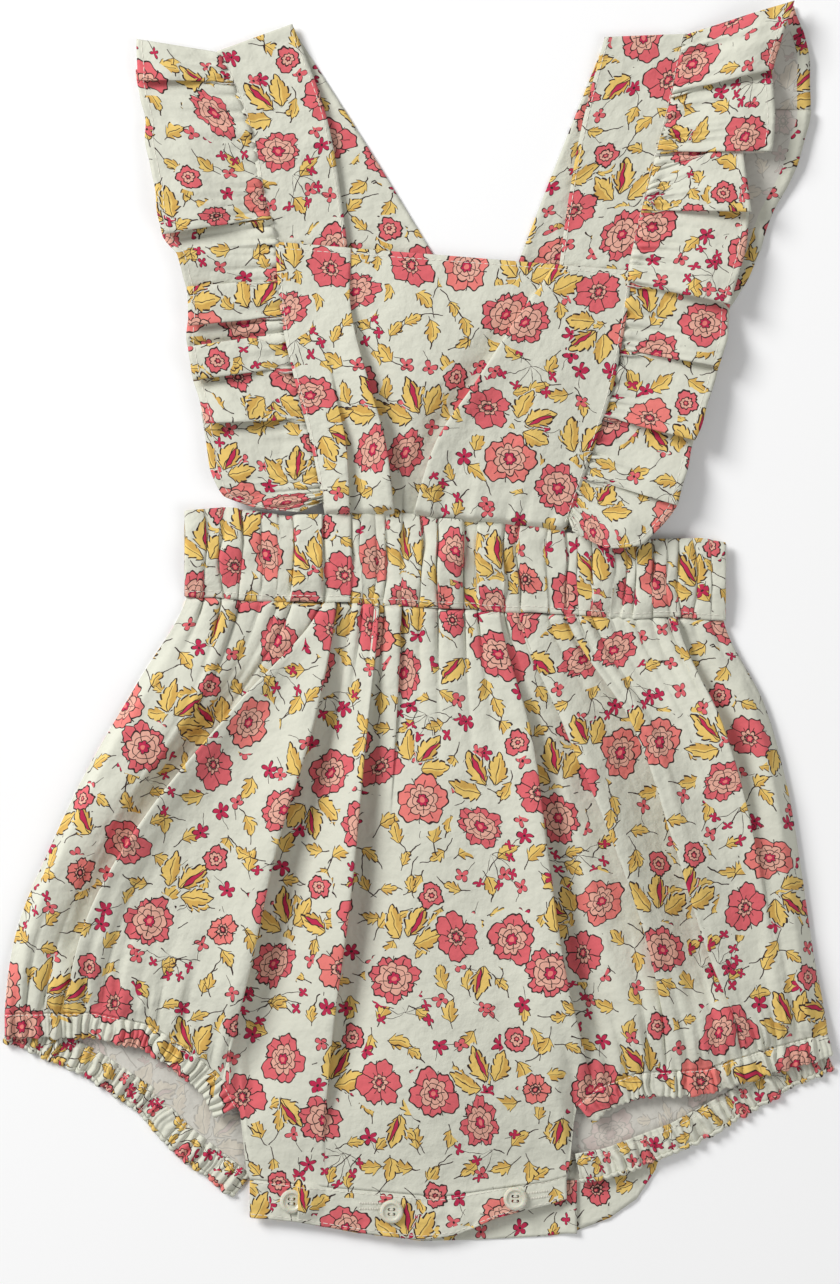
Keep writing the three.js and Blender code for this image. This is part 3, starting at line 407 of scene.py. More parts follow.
def print_by_wedges(points, owner, folds, cut_at):
    """Place in the print of each point, and the print's sideways direction in each column.

    Each wedge of cloth between two deep folds is laid flat as it is seen, square to its own
    middle line. The wedges meet at the hem, and their cloth hides under the folds above it."""
    rows, columns = points.shape[:2]
    plan = points[..., :2]
    bounds = [0]
    for k in cut_at:
        turn = np.flatnonzero(owner == k)
        bounds.append(turn[-2] if folds[k]["on_top"] == "left" else turn[1])
    bounds.append(columns)
    wedges = list(zip(bounds[:-1], bounds[1:]))
    row = int(0.55 * rows)
    middles, sides, extras = [], [], []
    for a, b in wedges:
        c = a + np.abs(plan[row, a:b, 0] - (plan[row, a, 0] + plan[row, b - 1, 0]) / 2).argmin()
        ahead = plan[-1, c] - plan[0, c]
        ahead = ahead / np.linalg.norm(ahead)
        side = np.array([-ahead[1], ahead[0]])
        step = np.diff(points[:, a:b], axis=1)
        turning = (owner[a + 1:b] >= 0) & (owner[a + 1:b] == owner[a:b - 1])
        length = np.linalg.norm(step, axis=2)
        seen = np.linalg.norm(step[..., :2], axis=2)
        hidden = np.where(turning, seen - step[..., :2] @ side, length - seen)
        extra = np.concatenate([np.zeros((rows, 1)), np.cumsum(hidden, axis=1)], axis=1)
        middles.append(c)
        sides.append(side)
        extras.append(extra - extra[:, c - a][:, None])

    def laid(w, place, origin, start):
        offset = place - origin
        ahead = np.array([sides[w][1], -sides[w][0]])
        return start + np.stack([offset @ sides[w], -(offset @ ahead)], axis=-1)

    first = int(np.argmax([b - a for a, b in wedges]))
    anchors = {first: (plan[0, middles[first]], np.zeros(2))}
    for w in list(range(first + 1, len(wedges))) + list(range(first - 1, -1, -1)):
        nearer = w - 1 if w > first else w + 1
        corner = plan[-1, bounds[max(w, nearer)]]
        anchors[w] = (corner, laid(nearer, corner, *anchors[nearer]))
    printed = np.zeros((rows, columns, 2))
    across = np.zeros((columns, 2))
    for w, (a, b) in enumerate(wedges):
        printed[:, a:b] = laid(w, plan[:, a:b], *anchors[w])
        printed[:, a:b, 0] += extras[w]
        across[a:b] = sides[w]
    return printed, across


def carried_on(name, points, hem_x):
    """Print of cloth that is sewn under a panel's hem: it runs on from the hem at hem_x."""
    panel = made[name]
    keep = np.flatnonzero(panel["owner"] < 0)
    hem = panel["points"][-1, keep]
    order = np.argsort(hem[:, 0])
    keep, hem = keep[order], hem[order]
    nearest = keep[np.clip(np.searchsorted(hem[:, 0], hem_x), 0, len(keep) - 1)]
    side = panel["across"][nearest]
    offset_x = points[..., 0] - hem_x
    offset_y = points[..., 1] - np.interp(hem_x, hem[:, 0], hem[:, 1])
    u = np.interp(hem_x, hem[:, 0], panel["printed"][-1, keep, 0])
    v = np.interp(hem_x, hem[:, 0], panel["printed"][-1, keep, 1])
    u = u + offset_x * side[..., 0] + offset_y * side[..., 1]
    v = v - offset_x * side[..., 1] + offset_y * side[..., 0]
    return np.stack([u, v], axis=-1)


def gather_bumps(place, valleys):
    """1 on the ridge between two valleys and 0 in a valley, and the number of the ridge."""
    edges = np.asarray(valleys, float)
    k = np.clip(np.searchsorted(edges, place, side="right") - 1, 0, len(edges) - 2)
    f = np.clip((place - edges[k]) / (edges[k + 1] - edges[k]), 0, 1)
    return 1 - np.abs(2 * f - 1) ** 2.4, k


def ridged(place, valleys, most, seed):
    """Height of uneven gathers: broad ridges between narrow valleys, some of them shallow."""
    rng = np.random.default_rng(seed)
    edges = np.asarray(valleys, float)
    width = np.diff(edges)
    peak = np.minimum(0.4 * width, most) * rng.uniform(0.7, 1.1, len(width))
    low = np.minimum(np.append(peak, peak[-1]), np.append(peak[0], peak))
    low = low * rng.choice([0.0, 0.2, 0.45, 0.7], len(edges), p=[0.45, 0.25, 0.2, 0.1])
    k = np.clip(np.searchsorted(edges, place, side="right") - 1, 0, len(edges) - 2)
    f = np.clip((place - edges[k]) / width[k], 0, 1)
    base = low[k] * (1 - f) + low[k + 1] * f
    broad = np.clip(width / 2.2, 2.0, 5.5)[k]
    return base + (peak[k] - base) * (1 - np.abs(2 * f - 1) ** broad)


def uneven_valleys(start, end, count, seed):
    """Valleys between gathers, unevenly spaced by hand-sewn elastic."""
    steps = np.random.default_rng(seed).uniform(0.4, 1.8, count)
    return start + (end - start) * np.concatenate([[0], np.cumsum(steps)]) / steps.sum()


def normals_of(points):
    """Unit normals of a grid, pointing up on the whole."""
    du = np.gradient(points, axis=1)
    dv = np.gradient(points, axis=0)
    n = np.cross(dv, du)
    n /= np.maximum(np.linalg.norm(n, axis=2, keepdims=True), 1e-9)
    return n if n[..., 2].mean() > 0 else -n


made = {}


def in_turns(points, owner):
    """The faces in the turns of folds, where both sides of the cloth show the print."""
    turning = (owner[1:] >= 0) & (owner[1:] == owner[:-1])
    return 2 * np.broadcast_to(turning, (points.shape[0] - 1, len(turning)))


def shell(name, points, flat, node, outside="up", print_shift=(0, 0), faces=None,
          printed=None):
    """Thin cloth from a grid of points in millimetres. flat has each point's place in the cut,
    and printed its place in the print, where that isn't the same.

    outside is the way that the printed side faces, or "both" for cloth that is doubled. In
    faces, 1 shows the print inside instead of outside, and 2 shows it on both sides."""
    rows, columns = points.shape[:2]
    index = np.arange(rows * columns).reshape(rows, columns)
    quads = np.stack([index[:-1, :-1], index[1:, :-1], index[1:, 1:], index[:-1, 1:]], axis=2)
    quads = quads.reshape(-1, 4)
    corner = points.reshape(-1, 3)[quads]
    upward = np.cross(corner[:, 2] - corner[:, 0], corner[:, 3] - corner[:, 1])[:, 2].sum() > 0
    if upward != (outside != "down"):
        quads = quads[:, ::-1]
    mesh = bpy.data.meshes.new(name)
    mesh.from_pydata((points.reshape(-1, 3) * MM).tolist(), [], quads.tolist())
    uv = mesh.uv_layers.new(name="flat")
    printed = flat if printed is None else printed
    place = (printed.reshape(-1, 2) + np.asarray(print_shift)) * MM
    uv.data.foreach_set("uv", place[quads.reshape(-1)].astype(np.float32).ravel())
    mesh.polygons.foreach_set("use_smooth", [True] * len(quads))
    mesh.materials.append(PRINT)
    mesh.materials.append(PRINT if outside == "both" else WRONG_SIDE)
    mesh.materials.append(PRINT)
    if faces is not None:
        mesh.polygons.foreach_set("material_index", faces.reshape(-1).astype(int))
    piece = bpy.data.objects.new(name, mesh)
    bpy.context.collection.objects.link(piece)
    solid = piece.modifiers.new("thickness", "SOLIDIFY")
    solid.thickness = CLOTH * MM
    solid.offset = -1
    solid.material_offset = 1
    solid.material_offset_rim = 0
    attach(piece, "root")
    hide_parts(node)
    made[name] = dict(piece=piece, points=points, flat=flat, printed=printed)
    return piece


def cut_of(flat):
    """Width, length and area of the flat cut, in metres."""
    low, high = flat.reshape(-1, 2).min(axis=0), flat.reshape(-1, 2).max(axis=0)
    a, b, c, d = flat[:-1, :-1], flat[1:, :-1], flat[1:, 1:], flat[:-1, 1:]
    p, q = c - a, d - b
    area = np.abs(p[..., 0] * q[..., 1] - p[..., 1] * q[..., 0]).sum() / 2
    width, length = (high - low) * MM
    return width, length, min(area * MM * MM, width * length)


def declare(name):
    width, length, area = cut_of(made[name]["flat"])


def row_shares(rows, dense_start=0.0, dense_end=0.0):
    """Shares from 0 to 1, closer together at either end."""
    t = np.linspace(0, 1, rows + 1)
    t = t - dense_start * np.sin(2 * np.pi * t) / (2 * np.pi) * (t < 0.5)
    return t - dense_end * np.sin(2 * np.pi * t) / (2 * np.pi) * (t >= 0.5)


def skirt_points(folds, hem_table, t, columns, waist_x, hem_x):
    """y of each point: from the waist seam down to the hem."""
    waist_y = look_up(BAND, "seam", waist_x) - SEAM_GAP / 2
    hem_y = look_up(hem_table, "y", hem_x)
    return waist_y[None, :] + (hem_y - waist_y)[None, :] * t[:, None]


def front_skirt():
    t = row_shares(132, 0.4, 0.4)
    left, right = through(SKIRT_SIDES["left"], t), through(SKIRT_SIDES["right"], t)
    x, owner, level = folded_columns(FRONT_FOLDS, left, right, t, 1.35)
    y = skirt_points(FRONT_FOLDS, FRONT_HEM, t, x, x[0], x[-1])
    y[0] += SEAM_TUCK
    edges = [left[0], *BAND_VALLEYS, right[0]]
    bump, ridge = gather_bumps(x[0], edges)
    length = np.random.default_rng(3).uniform(10, 38, 40)[ridge]
    height = np.random.default_rng(4).uniform(1.4, 3.8, 40)[ridge]
    down = y[0][None, :] - y
    fading = np.exp(-down / length[None, :])
    moved = spread_ridges(edges, x[0])[None, :] * fading
    reach = SKIRT_REACH[0] + (SKIRT_REACH[1] - SKIRT_REACH[0]) * np.sqrt(t)
    z = fold_height(FRONT_FOLDS, x, t, reach, owner, level)
    middle = (smooth(t / 0.3) * smooth((1.02 - t) / 0.2))[:, None]
    puff = 4.4 + 1.2 * noise(x, 0.4 * y, 34, 15)
    z += middle * (puff - hollows(FRONT_FOLDS, x, t, owner, 5.2, 12))
    over_leg = smooth((np.abs(x[-1] + 4) - 60) / 12)
    z += FRONT_REST + (FRONT_LEG_REST - FRONT_REST) * over_leg[None, :] * t[:, None] ** 4
    # Gathers run down from the waistband, each to its own length
    z += (bump - 0.25)[None, :] * height[None, :] * fading
    z += crumple(x, y, 20, 1.2)
    side = np.minimum(x - left[:, None], right[:, None] - x)
    z = z + WALL - (1 - smooth(side / 6)) * (z - FRONT_REST + 0.6)
    # and up from the leg casings
    up = y - y[-1][None, :]
    seam = np.full(len(x[-1]), PLACKET_SEAM)
    length = np.full(len(x[-1]), 5.0)
    coarse = np.zeros(len(x[-1]))
    run = np.full(len(x[-1]), 9.0)
    for leg in FRONT_LEGS.values():
        here = (x[-1] >= leg["from_x"] - 0.5) & (x[-1] <= leg["to_x"] + 0.5)
        path, _, even = hem_path(FRONT_HEM, leg["from_x"], leg["to_x"], 230)
        place = np.interp(x[-1], path[:, 0], even)
        valleys = uneven_valleys(0, even[-1], leg["gathers"], leg["seed"])
        gather = ridged(place, valleys, LEG_GATHER, leg["seed"])
        ridge = gather_bumps(place, valleys)[1]
        seam = np.where(here, LEG_SEAM + gather, seam)
        length = np.where(here, np.random.default_rng(5).uniform(3, 10, 90)[ridge], length)
        coarse = np.where(here, ridged(place, valleys[::3], 3.6, leg["seed"] + 5), coarse)
        run = np.where(here, np.random.default_rng(6).uniform(8, 30, 90)[ridge // 3], run)
    near = np.exp(-((up / length[None, :]) ** 1.4))
    z = z * (1 - near) + seam[None, :] * near
    z += (1.7 * coarse - over_leg)[None, :] * np.exp(-up / run[None, :]) * (1 - near)
    z = 2.0 + (z - 2.0) * smooth((down + 0.4) / 3.2)
    points = np.stack([x + moved, y, np.maximum(z, 1.3)], axis=2)
    s, v = along(points)
    widest = s[int(0.55 * len(t))]
    flat = np.stack([np.broadcast_to(widest, s.shape), -fanned(points, v)], axis=2)
    printed, across = print_by_wedges(points, owner, FRONT_FOLDS, (1, 2, 3, 7, 9))
    shell("front_skirt_cloth", points, flat, "front_skirt", print_shift=FRONT_PRINT,
          printed=printed, faces=in_turns(points, owner))
    made["front_skirt_cloth"].update(owner=owner, across=across)
    declare("front_skirt_cloth")


def back_skirt():
    t = row_shares(84, 0.3, 0.3)
    left, right = through(SKIRT_SIDES["left"], t), through(SKIRT_SIDES["right"], t)
    x, owner, level = folded_columns(BACK_FOLDS, left, right, t, 2.2)
    share = (x[-1] - x[-1][0]) / (x[-1][-1] - x[-1][0])
    # Columns at the hem's corners keep the crotch's step sharp
    corners = np.asarray(BACK_HEM["x"])
    hem_x = x[-1].copy()
    for corner in corners:
        hem_x[np.abs(hem_x - corner).argmin()] = corner
    x = x + (hem_x - x[-1])[None, :] * t[:, None] ** 3
    y = skirt_points(BACK_FOLDS, BACK_HEM, t, x, x[0], hem_x)
    lift = fold_height(BACK_FOLDS, x, t, 9 + 6 * t, owner, level)
    bump, ridge = gather_bumps(share, uneven_valleys(0, 1, 34, 21))
    length = np.random.default_rng(22).uniform(6, 24, 40)[ridge]
    down = y[0][None, :] - y
    lift += bump[None, :] * 0.6 * np.exp(-down / length[None, :])
    up = y - y[-1][None, :]
    bump, ridge = gather_bumps(hem_x, uneven_valleys(hem_x.min(), hem_x.max(), 80, 23))
    lift += bump[None, :] * 0.5 * np.exp(-up / 7)
    lift += 0.35 * np.abs(crumple(x, y, 30))
    points = np.stack([x, y, np.clip(lift, 0, 1.1)], axis=2)
    s, v = along(points)
    flat = np.stack([np.broadcast_to(s[int(0.62 * len(t))], s.shape), -fanned(points, v)], axis=2)
    # Right of the crotch the panel's corner is turned over and shows its print
    corner = (x[1:, 1:] > 56.4) & (y[1:, 1:] < look_up(RIGHT_BACK_LEG, "y", x[1:, 1:]) - 2)
    shell("back_skirt_cloth", points, flat, "back_skirt", outside="down", print_shift=(400, 15),
          faces=corner)
    declare("back_skirt_cloth")


def waistband(name, node, t, x, valleys, rest, swell_most, outside, seed):
    """Elastic band: soft ridges between uneven valleys, fuller in the middle of its depth."""
    rng = np.random.default_rng(seed)
    count = len(valleys)
    sway = rng.uniform(-1.3, 1.3, count)
    edges = np.asarray(valleys, float)
    moved = np.interp(x[None, :] + 0 * t[:, None], edges, sway) * np.sin(np.pi * t * 1.2)[:, None]
    leaning = x[None, :] + 2.3 * noise(x[None, :], 34 * t[:, None], 13, seed + 4)
    leaning = np.clip(leaning, x[0], x[-1])
    swell = ridged(leaning, edges, swell_most, seed + 3)
    nearest = np.abs(leaning[..., None] - edges).argmin(axis=-1)
    away = np.abs(leaning - edges[nearest])
    filled = np.clip(1.5 * noise(13.7 * nearest, 2.4 * t[:, None], 1, seed + 8) - 0.1, 0, 0.85)
    filled = filled * np.exp(-((away / 2.2) ** 2))
    swell = swell + filled * np.maximum(0.6 * swell_most - swell, 0)
    bump = swell.mean(axis=0) / swell_most
    full = 0.45 + 0.55 * np.sin(np.pi * np.clip(t, 0.02, 0.98)) ** 0.7
    uneven = 1 + 0.35 * noise(x[None, :] * 1.0, 40 * t[:, None], 9, seed + 1)
    height = rest + swell * full[:, None] * uneven
    height = height + 0.25 * noise(x[None, :], 33 * t[:, None], 3.2, seed + 2)
    inside = smooth(np.minimum(x - x[0], x[-1] - x) / 4)
    spread = spread_ridges(edges, x)
    top, seam = look_up(BAND, "top", x), look_up(BAND, "seam", x) + SEAM_GAP / 2
    front = outside == "up"
    top = top + 0.8 * (bump - 0.5) * front
    seam = seam + 0.7 * noise(x, 0 * x, 8, seed + 6) * front
    y = top[None, :] + (seam - top)[None, :] * t[:, None]
    points = np.stack([x[None, :] + spread[None, :] + moved * inside[None, :], y, height], axis=2)
    s, v = along(points)
    ease = 1.3  # more cloth in the gathers than the ridges show
    middle = s[len(t) // 2]
    flat = np.stack([np.broadcast_to(middle * ease, s.shape), -v], axis=2)
    # The cloth that doesn't show lies in the valleys
    in_valley = np.cumsum(np.exp(-((away / 0.55) ** 2)), axis=1)
    hidden = (ease - 1) * middle[-1] * in_valley / in_valley[:, -1:]
    printed = np.stack([middle[None, :] + hidden, -v], axis=2)
    shell(name, points, flat, node, outside=outside, print_shift=(70 + 9 * seed, -8),
          printed=printed)
    declare(name)


def waistbands():
    left, right = BAND["x"][0], BAND["x"][-1]
    t = np.linspace(0, 1, 30)
    x = np.linspace(left, right, 380)
    valleys = [left, *BAND_VALLEYS, right]
    waistband("front_waistband_cloth", "front_waistband", t, x, valleys,
              FRONT_REST + WALL - 0.3, 4.0, "up", 1)
    x = np.linspace(left + 0.5, right - 0.5, 200)
    valleys = uneven_valleys(left + 0.5, right - 0.5, 40, 8)
    waistband("back_waistband_cloth", "back_waistband", np.linspace(0, 1, 16), x, valleys,
              0.1, 0.8, "down", 2)


def hem_path(table, from_x, to_x, count):
    """Points and outward directions along a stretch of a hem, evenly spaced."""
    inside = [x for x in table["x"] if from_x < x < to_x]
    xs = np.array([from_x, *inside, to_x])
    line = np.stack([xs, look_up(table, "y", xs)], axis=1)
    step = np.linalg.norm(np.diff(line, axis=0), axis=1)
    where = np.concatenate([[0], np.cumsum(step)])
    even = np.linspace(0, where[-1], count)
    path = np.stack([np.interp(even, where, line[:, k]) for k in (0, 1)], axis=1)
    reach = max(2, count // 14)
    ahead = path[np.minimum(np.arange(count) + reach, count - 1)]
    behind = path[np.maximum(np.arange(count) - reach, 0)]
    tangent = ahead - behind
    tangent /= np.linalg.norm(tangent, axis=1, keepdims=True)
    return path, np.stack([tangent[:, 1], -tangent[:, 0]], axis=1), even


def casing(name, node, table, from_x, to_x, gathers, rest_at, lift, outside, seed):
    """Gathered leg casing: small ridges across the strip, its edge drawn in between them.
    The print and the gathers of a front one run on from the skirt."""
    front = outside == "up"
    path, out, even = hem_path(table, from_x, to_x, 300)
    valleys = uneven_valleys(0, even[-1], gathers, seed)
    depth = np.linspace(-SEAM_TUCK / CASING_DEPTH, 1, 16)[:, None]
    sway = 1.5 * noise(even[None, :], 9 * depth, 7, seed + 4) * smooth(depth * 2)
    bump = ridged(np.clip(even[None, :] + sway, 0, even[-1]), valleys, lift, seed)
    reach = CASING_DEPTH * depth + 1.1 * (bump / lift - 0.5) * smooth(depth * 1.6 - 0.6)
    reach = reach * (1 + 0.05 * noise(even[None, :], 9 * depth, 14, seed + 2))
    x = path[:, 0][None, :] + out[:, 0][None, :] * reach
    y = path[:, 1][None, :] + out[:, 1][None, :] * reach
    full = 1 + 0.5 * smooth(depth / 0.3) * smooth((1.1 - depth) / 0.5)
    z = rest_at(x) + bump * full - 0.55 * smooth((0.03 - depth) / 0.05) * front
    z = z + 0.25 * noise(even[None, :], 9 * depth, 2.4, seed + 3) * smooth(depth * 4)
    points = np.stack([x, y, z], axis=2)
    # The edge rolls under
    inward = -np.stack([out[:, 0], out[:, 1], 0 * even], axis=1)
    down = -1 if front else 0.4
    rolled = [points[-1] + back * inward + np.array([0, 0, down * drop])
              for back, drop in ((-0.2, 0.35), (0.1, 0.8), (1.0, 1.05))]
    points = np.concatenate([points, np.array(rolled)], axis=0)
    points[..., 2] = np.maximum(points[..., 2], 3.0 if front else CLOTH)
    s, v = along(points)
    flat = np.stack([np.broadcast_to(s[6] * 1.12, s.shape), -1.05 * v], axis=2)
    printed, shift = None, (33 * seed, 57)
    if front:
        seam = np.broadcast_to(path[:, 0], x.shape)
        printed = carried_on("front_skirt_cloth", points[:16], seam)
        printed = np.concatenate([printed, printed[-1] + np.array([0, -1]) * [[[0.4]], [[0.9]], [[1.8]]]])
        shift = FRONT_PRINT
    shell(name, points, flat, node, outside=outside, print_shift=shift, printed=printed)
    declare(name)


def casings():
    front = lambda x: LEG_SEAM + 0 * x
    back = lambda x: CLOTH + 0.1 + 0 * x
    right_back = lambda x: CLOTH + 0.1 + 1.6 * (1 - smooth((x - 97) / 19))
    for side, leg in FRONT_LEGS.items():
        casing(side + "_front_casing_cloth", side + "_front_leg_casing", FRONT_HEM, leg["from_x"],
               leg["to_x"], leg["gathers"], front, LEG_GATHER, "up", leg["seed"])
    casing("left_back_casing_cloth", "left_back_leg_casing", BACK_HEM, -154.8, -65.0, 44,
           back, 1.5, "both", 51)
    casing("right_back_casing_cloth", "right_back_leg_casing", RIGHT_BACK_LEG, 59.0, 153.6, 44,
           right_back, 1.5, "both", 61)


def plackets():
    """Crotch plackets: two turned strips, the front one puckered along its stitching."""
    t = np.linspace(0, 1, 26)[:, None]
    fine = np.linspace(-47.4, -45.4, 9)
    x = np.union1d(np.linspace(PLACKET["x"][0], PLACKET["x"][-1], 110), fine)[None, :]
    hem = look_up(FRONT_HEM, "y", x)
    top = hem + SEAM_TUCK
    y = top + (look_up(PLACKET, "front", x) - top) * t
    below = hem - y
    pucker = 0.8 * noise(x, y, 7, 71) + 0.4 * noise(x, y, 3.1, 72)
    pucker = pucker * smooth(below / 3)
    z = PLACKET_SEAM + np.abs(pucker) - 0.55 * smooth((0.3 - below) / 0.5)
    # A fold of the placket covers the right half of the left button
    left = middle_of("button_left")
    over = smooth((x - left[0] - 2.0) / 0.7) * smooth((left[0] + 13 - x) / 8)
    over = over * np.exp(-(((y - left[1]) / 6.5) ** 4))
    z = z + over * (left[2] + 1.6 - z)
    points = np.stack([x + 0 * t, y, z], axis=2)
    s, v = along(points)
    printed = carried_on("front_skirt_cloth", points, x + 0 * t)
    shell("front_placket_cloth", points, np.stack([s, -v], axis=2), "front_placket",
          outside="both", print_shift=FRONT_PRINT, printed=printed)
    declare("front_placket_cloth")

    t = np.linspace(0, 1, 20)[:, None]
    x = np.linspace(PLACKET["x"][0], 59.6, 112)[None, :]
    top = look_up(BACK_HEM, "y", np.minimum(x, 56.4))
    y = top + (look_up(PLACKET, "back", x) - top) * t
    pucker = 0.5 * noise(x, 20 * t, 7, 71) + 0.3 * noise(x, 20 * t, 2.6, 72)
    z = CLOTH + 0.1 + 0.3 * np.abs(pucker) + 1.1 * smooth((x - 52) / 6) + 0 * t
    points = np.stack([x + 0 * t, y, z], axis=2)
    s, v = along(points)
    shell("back_placket_cloth", points, np.stack([s, -v], axis=2), "back_placket",
          outside="both", print_shift=(90, 300))
    declare("back_placket_cloth")


def middle_of(node):
    """Middle of a CAD node's box, in millimetres."""
    low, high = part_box(node)
    return (np.array(low) + np.array(high)) / 2 / MM


def bib():
    t = row_shares(76, 0.1, 0.4)
    left, right = through(BIB_SIDES["left"], t), through(BIB_SIDES["right"], t)
    left_y, right_y = through(BIB_SIDES["left_y"], t), through(BIB_SIDES["right_y"], t)
    x, owner, level = folded_columns(BIB_FOLDS, left, right, t, 1.5)
    share = (x - left[:, None]) / (right - left)[:, None]
    straight = left_y[:, None] + (right_y - left_y)[:, None] * share
    end = left_y[-1] + (right_y[-1] - left_y[-1]) * share
    y = straight + t[:, None] ** 3 * (look_up(BAND, "top", x) - SEAM_TUCK - end)
    reach = BIB_REACH[0] + (BIB_REACH[1] - BIB_REACH[0]) * t
    z = BIB_REST + WALL + fold_height(BIB_FOLDS, x, t, reach, owner, level)
    bump, ridge = gather_bumps(x[-1], [left[-1], *[v for v in BAND_VALLEYS if -33 < v < 52], right[-1]])
    up = y - y[-1][None, :]
    z += (bump - 0.2)[None, :] * 1.6 * np.exp(-up / 12)
    z += crumple(x, y, 80, 1.2)
    z += 2.6 * (np.sin(np.pi * t * 0.94) ** 0.7)[:, None] - hollows(BIB_FOLDS, x, t, owner, 3.0, 8)
    z = 2.2 + (z - 2.2) * smooth((up + 0.2) / 4)
    points = np.stack([x, y, z], axis=2)
    s, v = along(points)
    flat = np.stack([s - s[:, s.shape[1] // 2][:, None], -v], axis=2)
    printed, _ = print_by_wedges(points, owner, BIB_FOLDS, (1, 2))
    shell("bib_cloth", points, flat, "front_bib", print_shift=(123, 205), printed=printed,
          faces=in_turns(points, owner))
    declare("bib_cloth")


def straps():
    for k, (node, edge) in enumerate(STRAPS.items()):
        front = node.endswith("front_strap")
        t = np.linspace(0, 1, 66 if front else 110)[:, None]
        u = np.linspace(0, 1, 22)[None, :]
        x = through(edge["outer_x"], t) * (1 - u) + through(edge["inner_x"], t) * u
        y = through(edge["outer_y"], t) * (1 - u) + through(edge["inner_y"], t) * u
        if front:
            z = STRAP_REST + WALL + crumple(x, y, 90 + k, 0.9)
        else:
            over = 1.5 * smooth((124 - y) / 18) if node.startswith("right") else 0
            z = CLOTH + 0.1 + over + np.abs(crumple(x, y, 90 + k, 0.6))
        edge_ridge = 0.22 * smooth((0.1 - np.minimum(u, 1 - u)) / 0.03)
        points = np.stack([x, y, z + edge_ridge], axis=2)
        s, v = along(points)
        flat = np.stack([s, -v], axis=2)
        name = node + "_cloth"
        shell(name, points, flat, node, outside="both", print_shift=(61 * k + 20, 37 * k))
        declare(name)


def outer_edge(strap_name, bib_side):
    """x by height along the outer edge of a strap, and of a side of the bib below it."""
    t = np.linspace(0, 1, 40)
    strap = STRAPS[strap_name]
    x, y = through(strap["outer_x"], t), through(strap["outer_y"], t)
    if bib_side:
        above = y > BIB_SIDES[bib_side + "_y"][0]
        x = np.concatenate([x[above], through(BIB_SIDES[bib_side], t)])
        y = np.concatenate([y[above], through(BIB_SIDES[bib_side + "_y"], t)])
    order = np.argsort(y)
    return {"x": y[order], "edge": x[order]}


def ruffle_columns(table, width):
    """Columns along a ruffle: place in the table, the two stretches that it lies between, and
    its share of the one before the fold."""
    hem = np.array([row["hem"] for row in table])
    last = len(table) - 1
    folds = [k for k, row in enumerate(table) if "past" in row]
    columns = []
    stretch = 0

    def run(start, end):
        way = abs(np.interp(end, range(last + 1), range(last + 1)) - start)
        steps = np.linalg.norm(np.diff(hem, axis=0), axis=1)
        length = way * steps[int(min(max((start + end) / 2, 0), last - 1))] if way < 1 else sum(
            steps[int(start):int(math.ceil(end))])
        count = max(2, int(round(length / width)))
        return list(np.linspace(start, end, count + 1))[1:]

    columns.append((0.0, 0, 1.0, 0.0))
    place = 0.0
    for fold in folds:
        row = table[fold]
        before = np.linalg.norm(hem[fold] - hem[fold - 1])
        past = np.linalg.norm(hem[fold + 1] - hem[fold])
        upper_before = row["lift"] > row["past"]
        jump = abs(row["lift"] - row["past"])
        tuck = min(1.6 * jump, 5.0)
        roll = min(ROLL, jump / 5)
        speed = before if upper_before else past
        side = -1 if upper_before else 1
        turn = [(roll, 1.0), (0.0, 0.9), (roll, 0.78), (tuck * 0.5, 0.5), (tuck - roll, 0.2),
                (tuck, 0.1), (tuck - roll, 0.0)]
        turn = turn if upper_before else turn[::-1]
        places = [fold + side * back / speed for back, _ in turn]
        columns += [(q, stretch, 1.0, q) for q in run(place, places[0])][:-1]
        for n, (q, (_, share)) in enumerate(zip(places, turn)):
            opened = fold + (n - 3) * 0.4 / speed
            columns.append((q, stretch, share if upper_before else 1 - share, opened))
        stretch += 1
        place = places[-1]
    columns += [(q, stretch, 1.0, q) for q in run(place, float(last))]
    return columns, folds


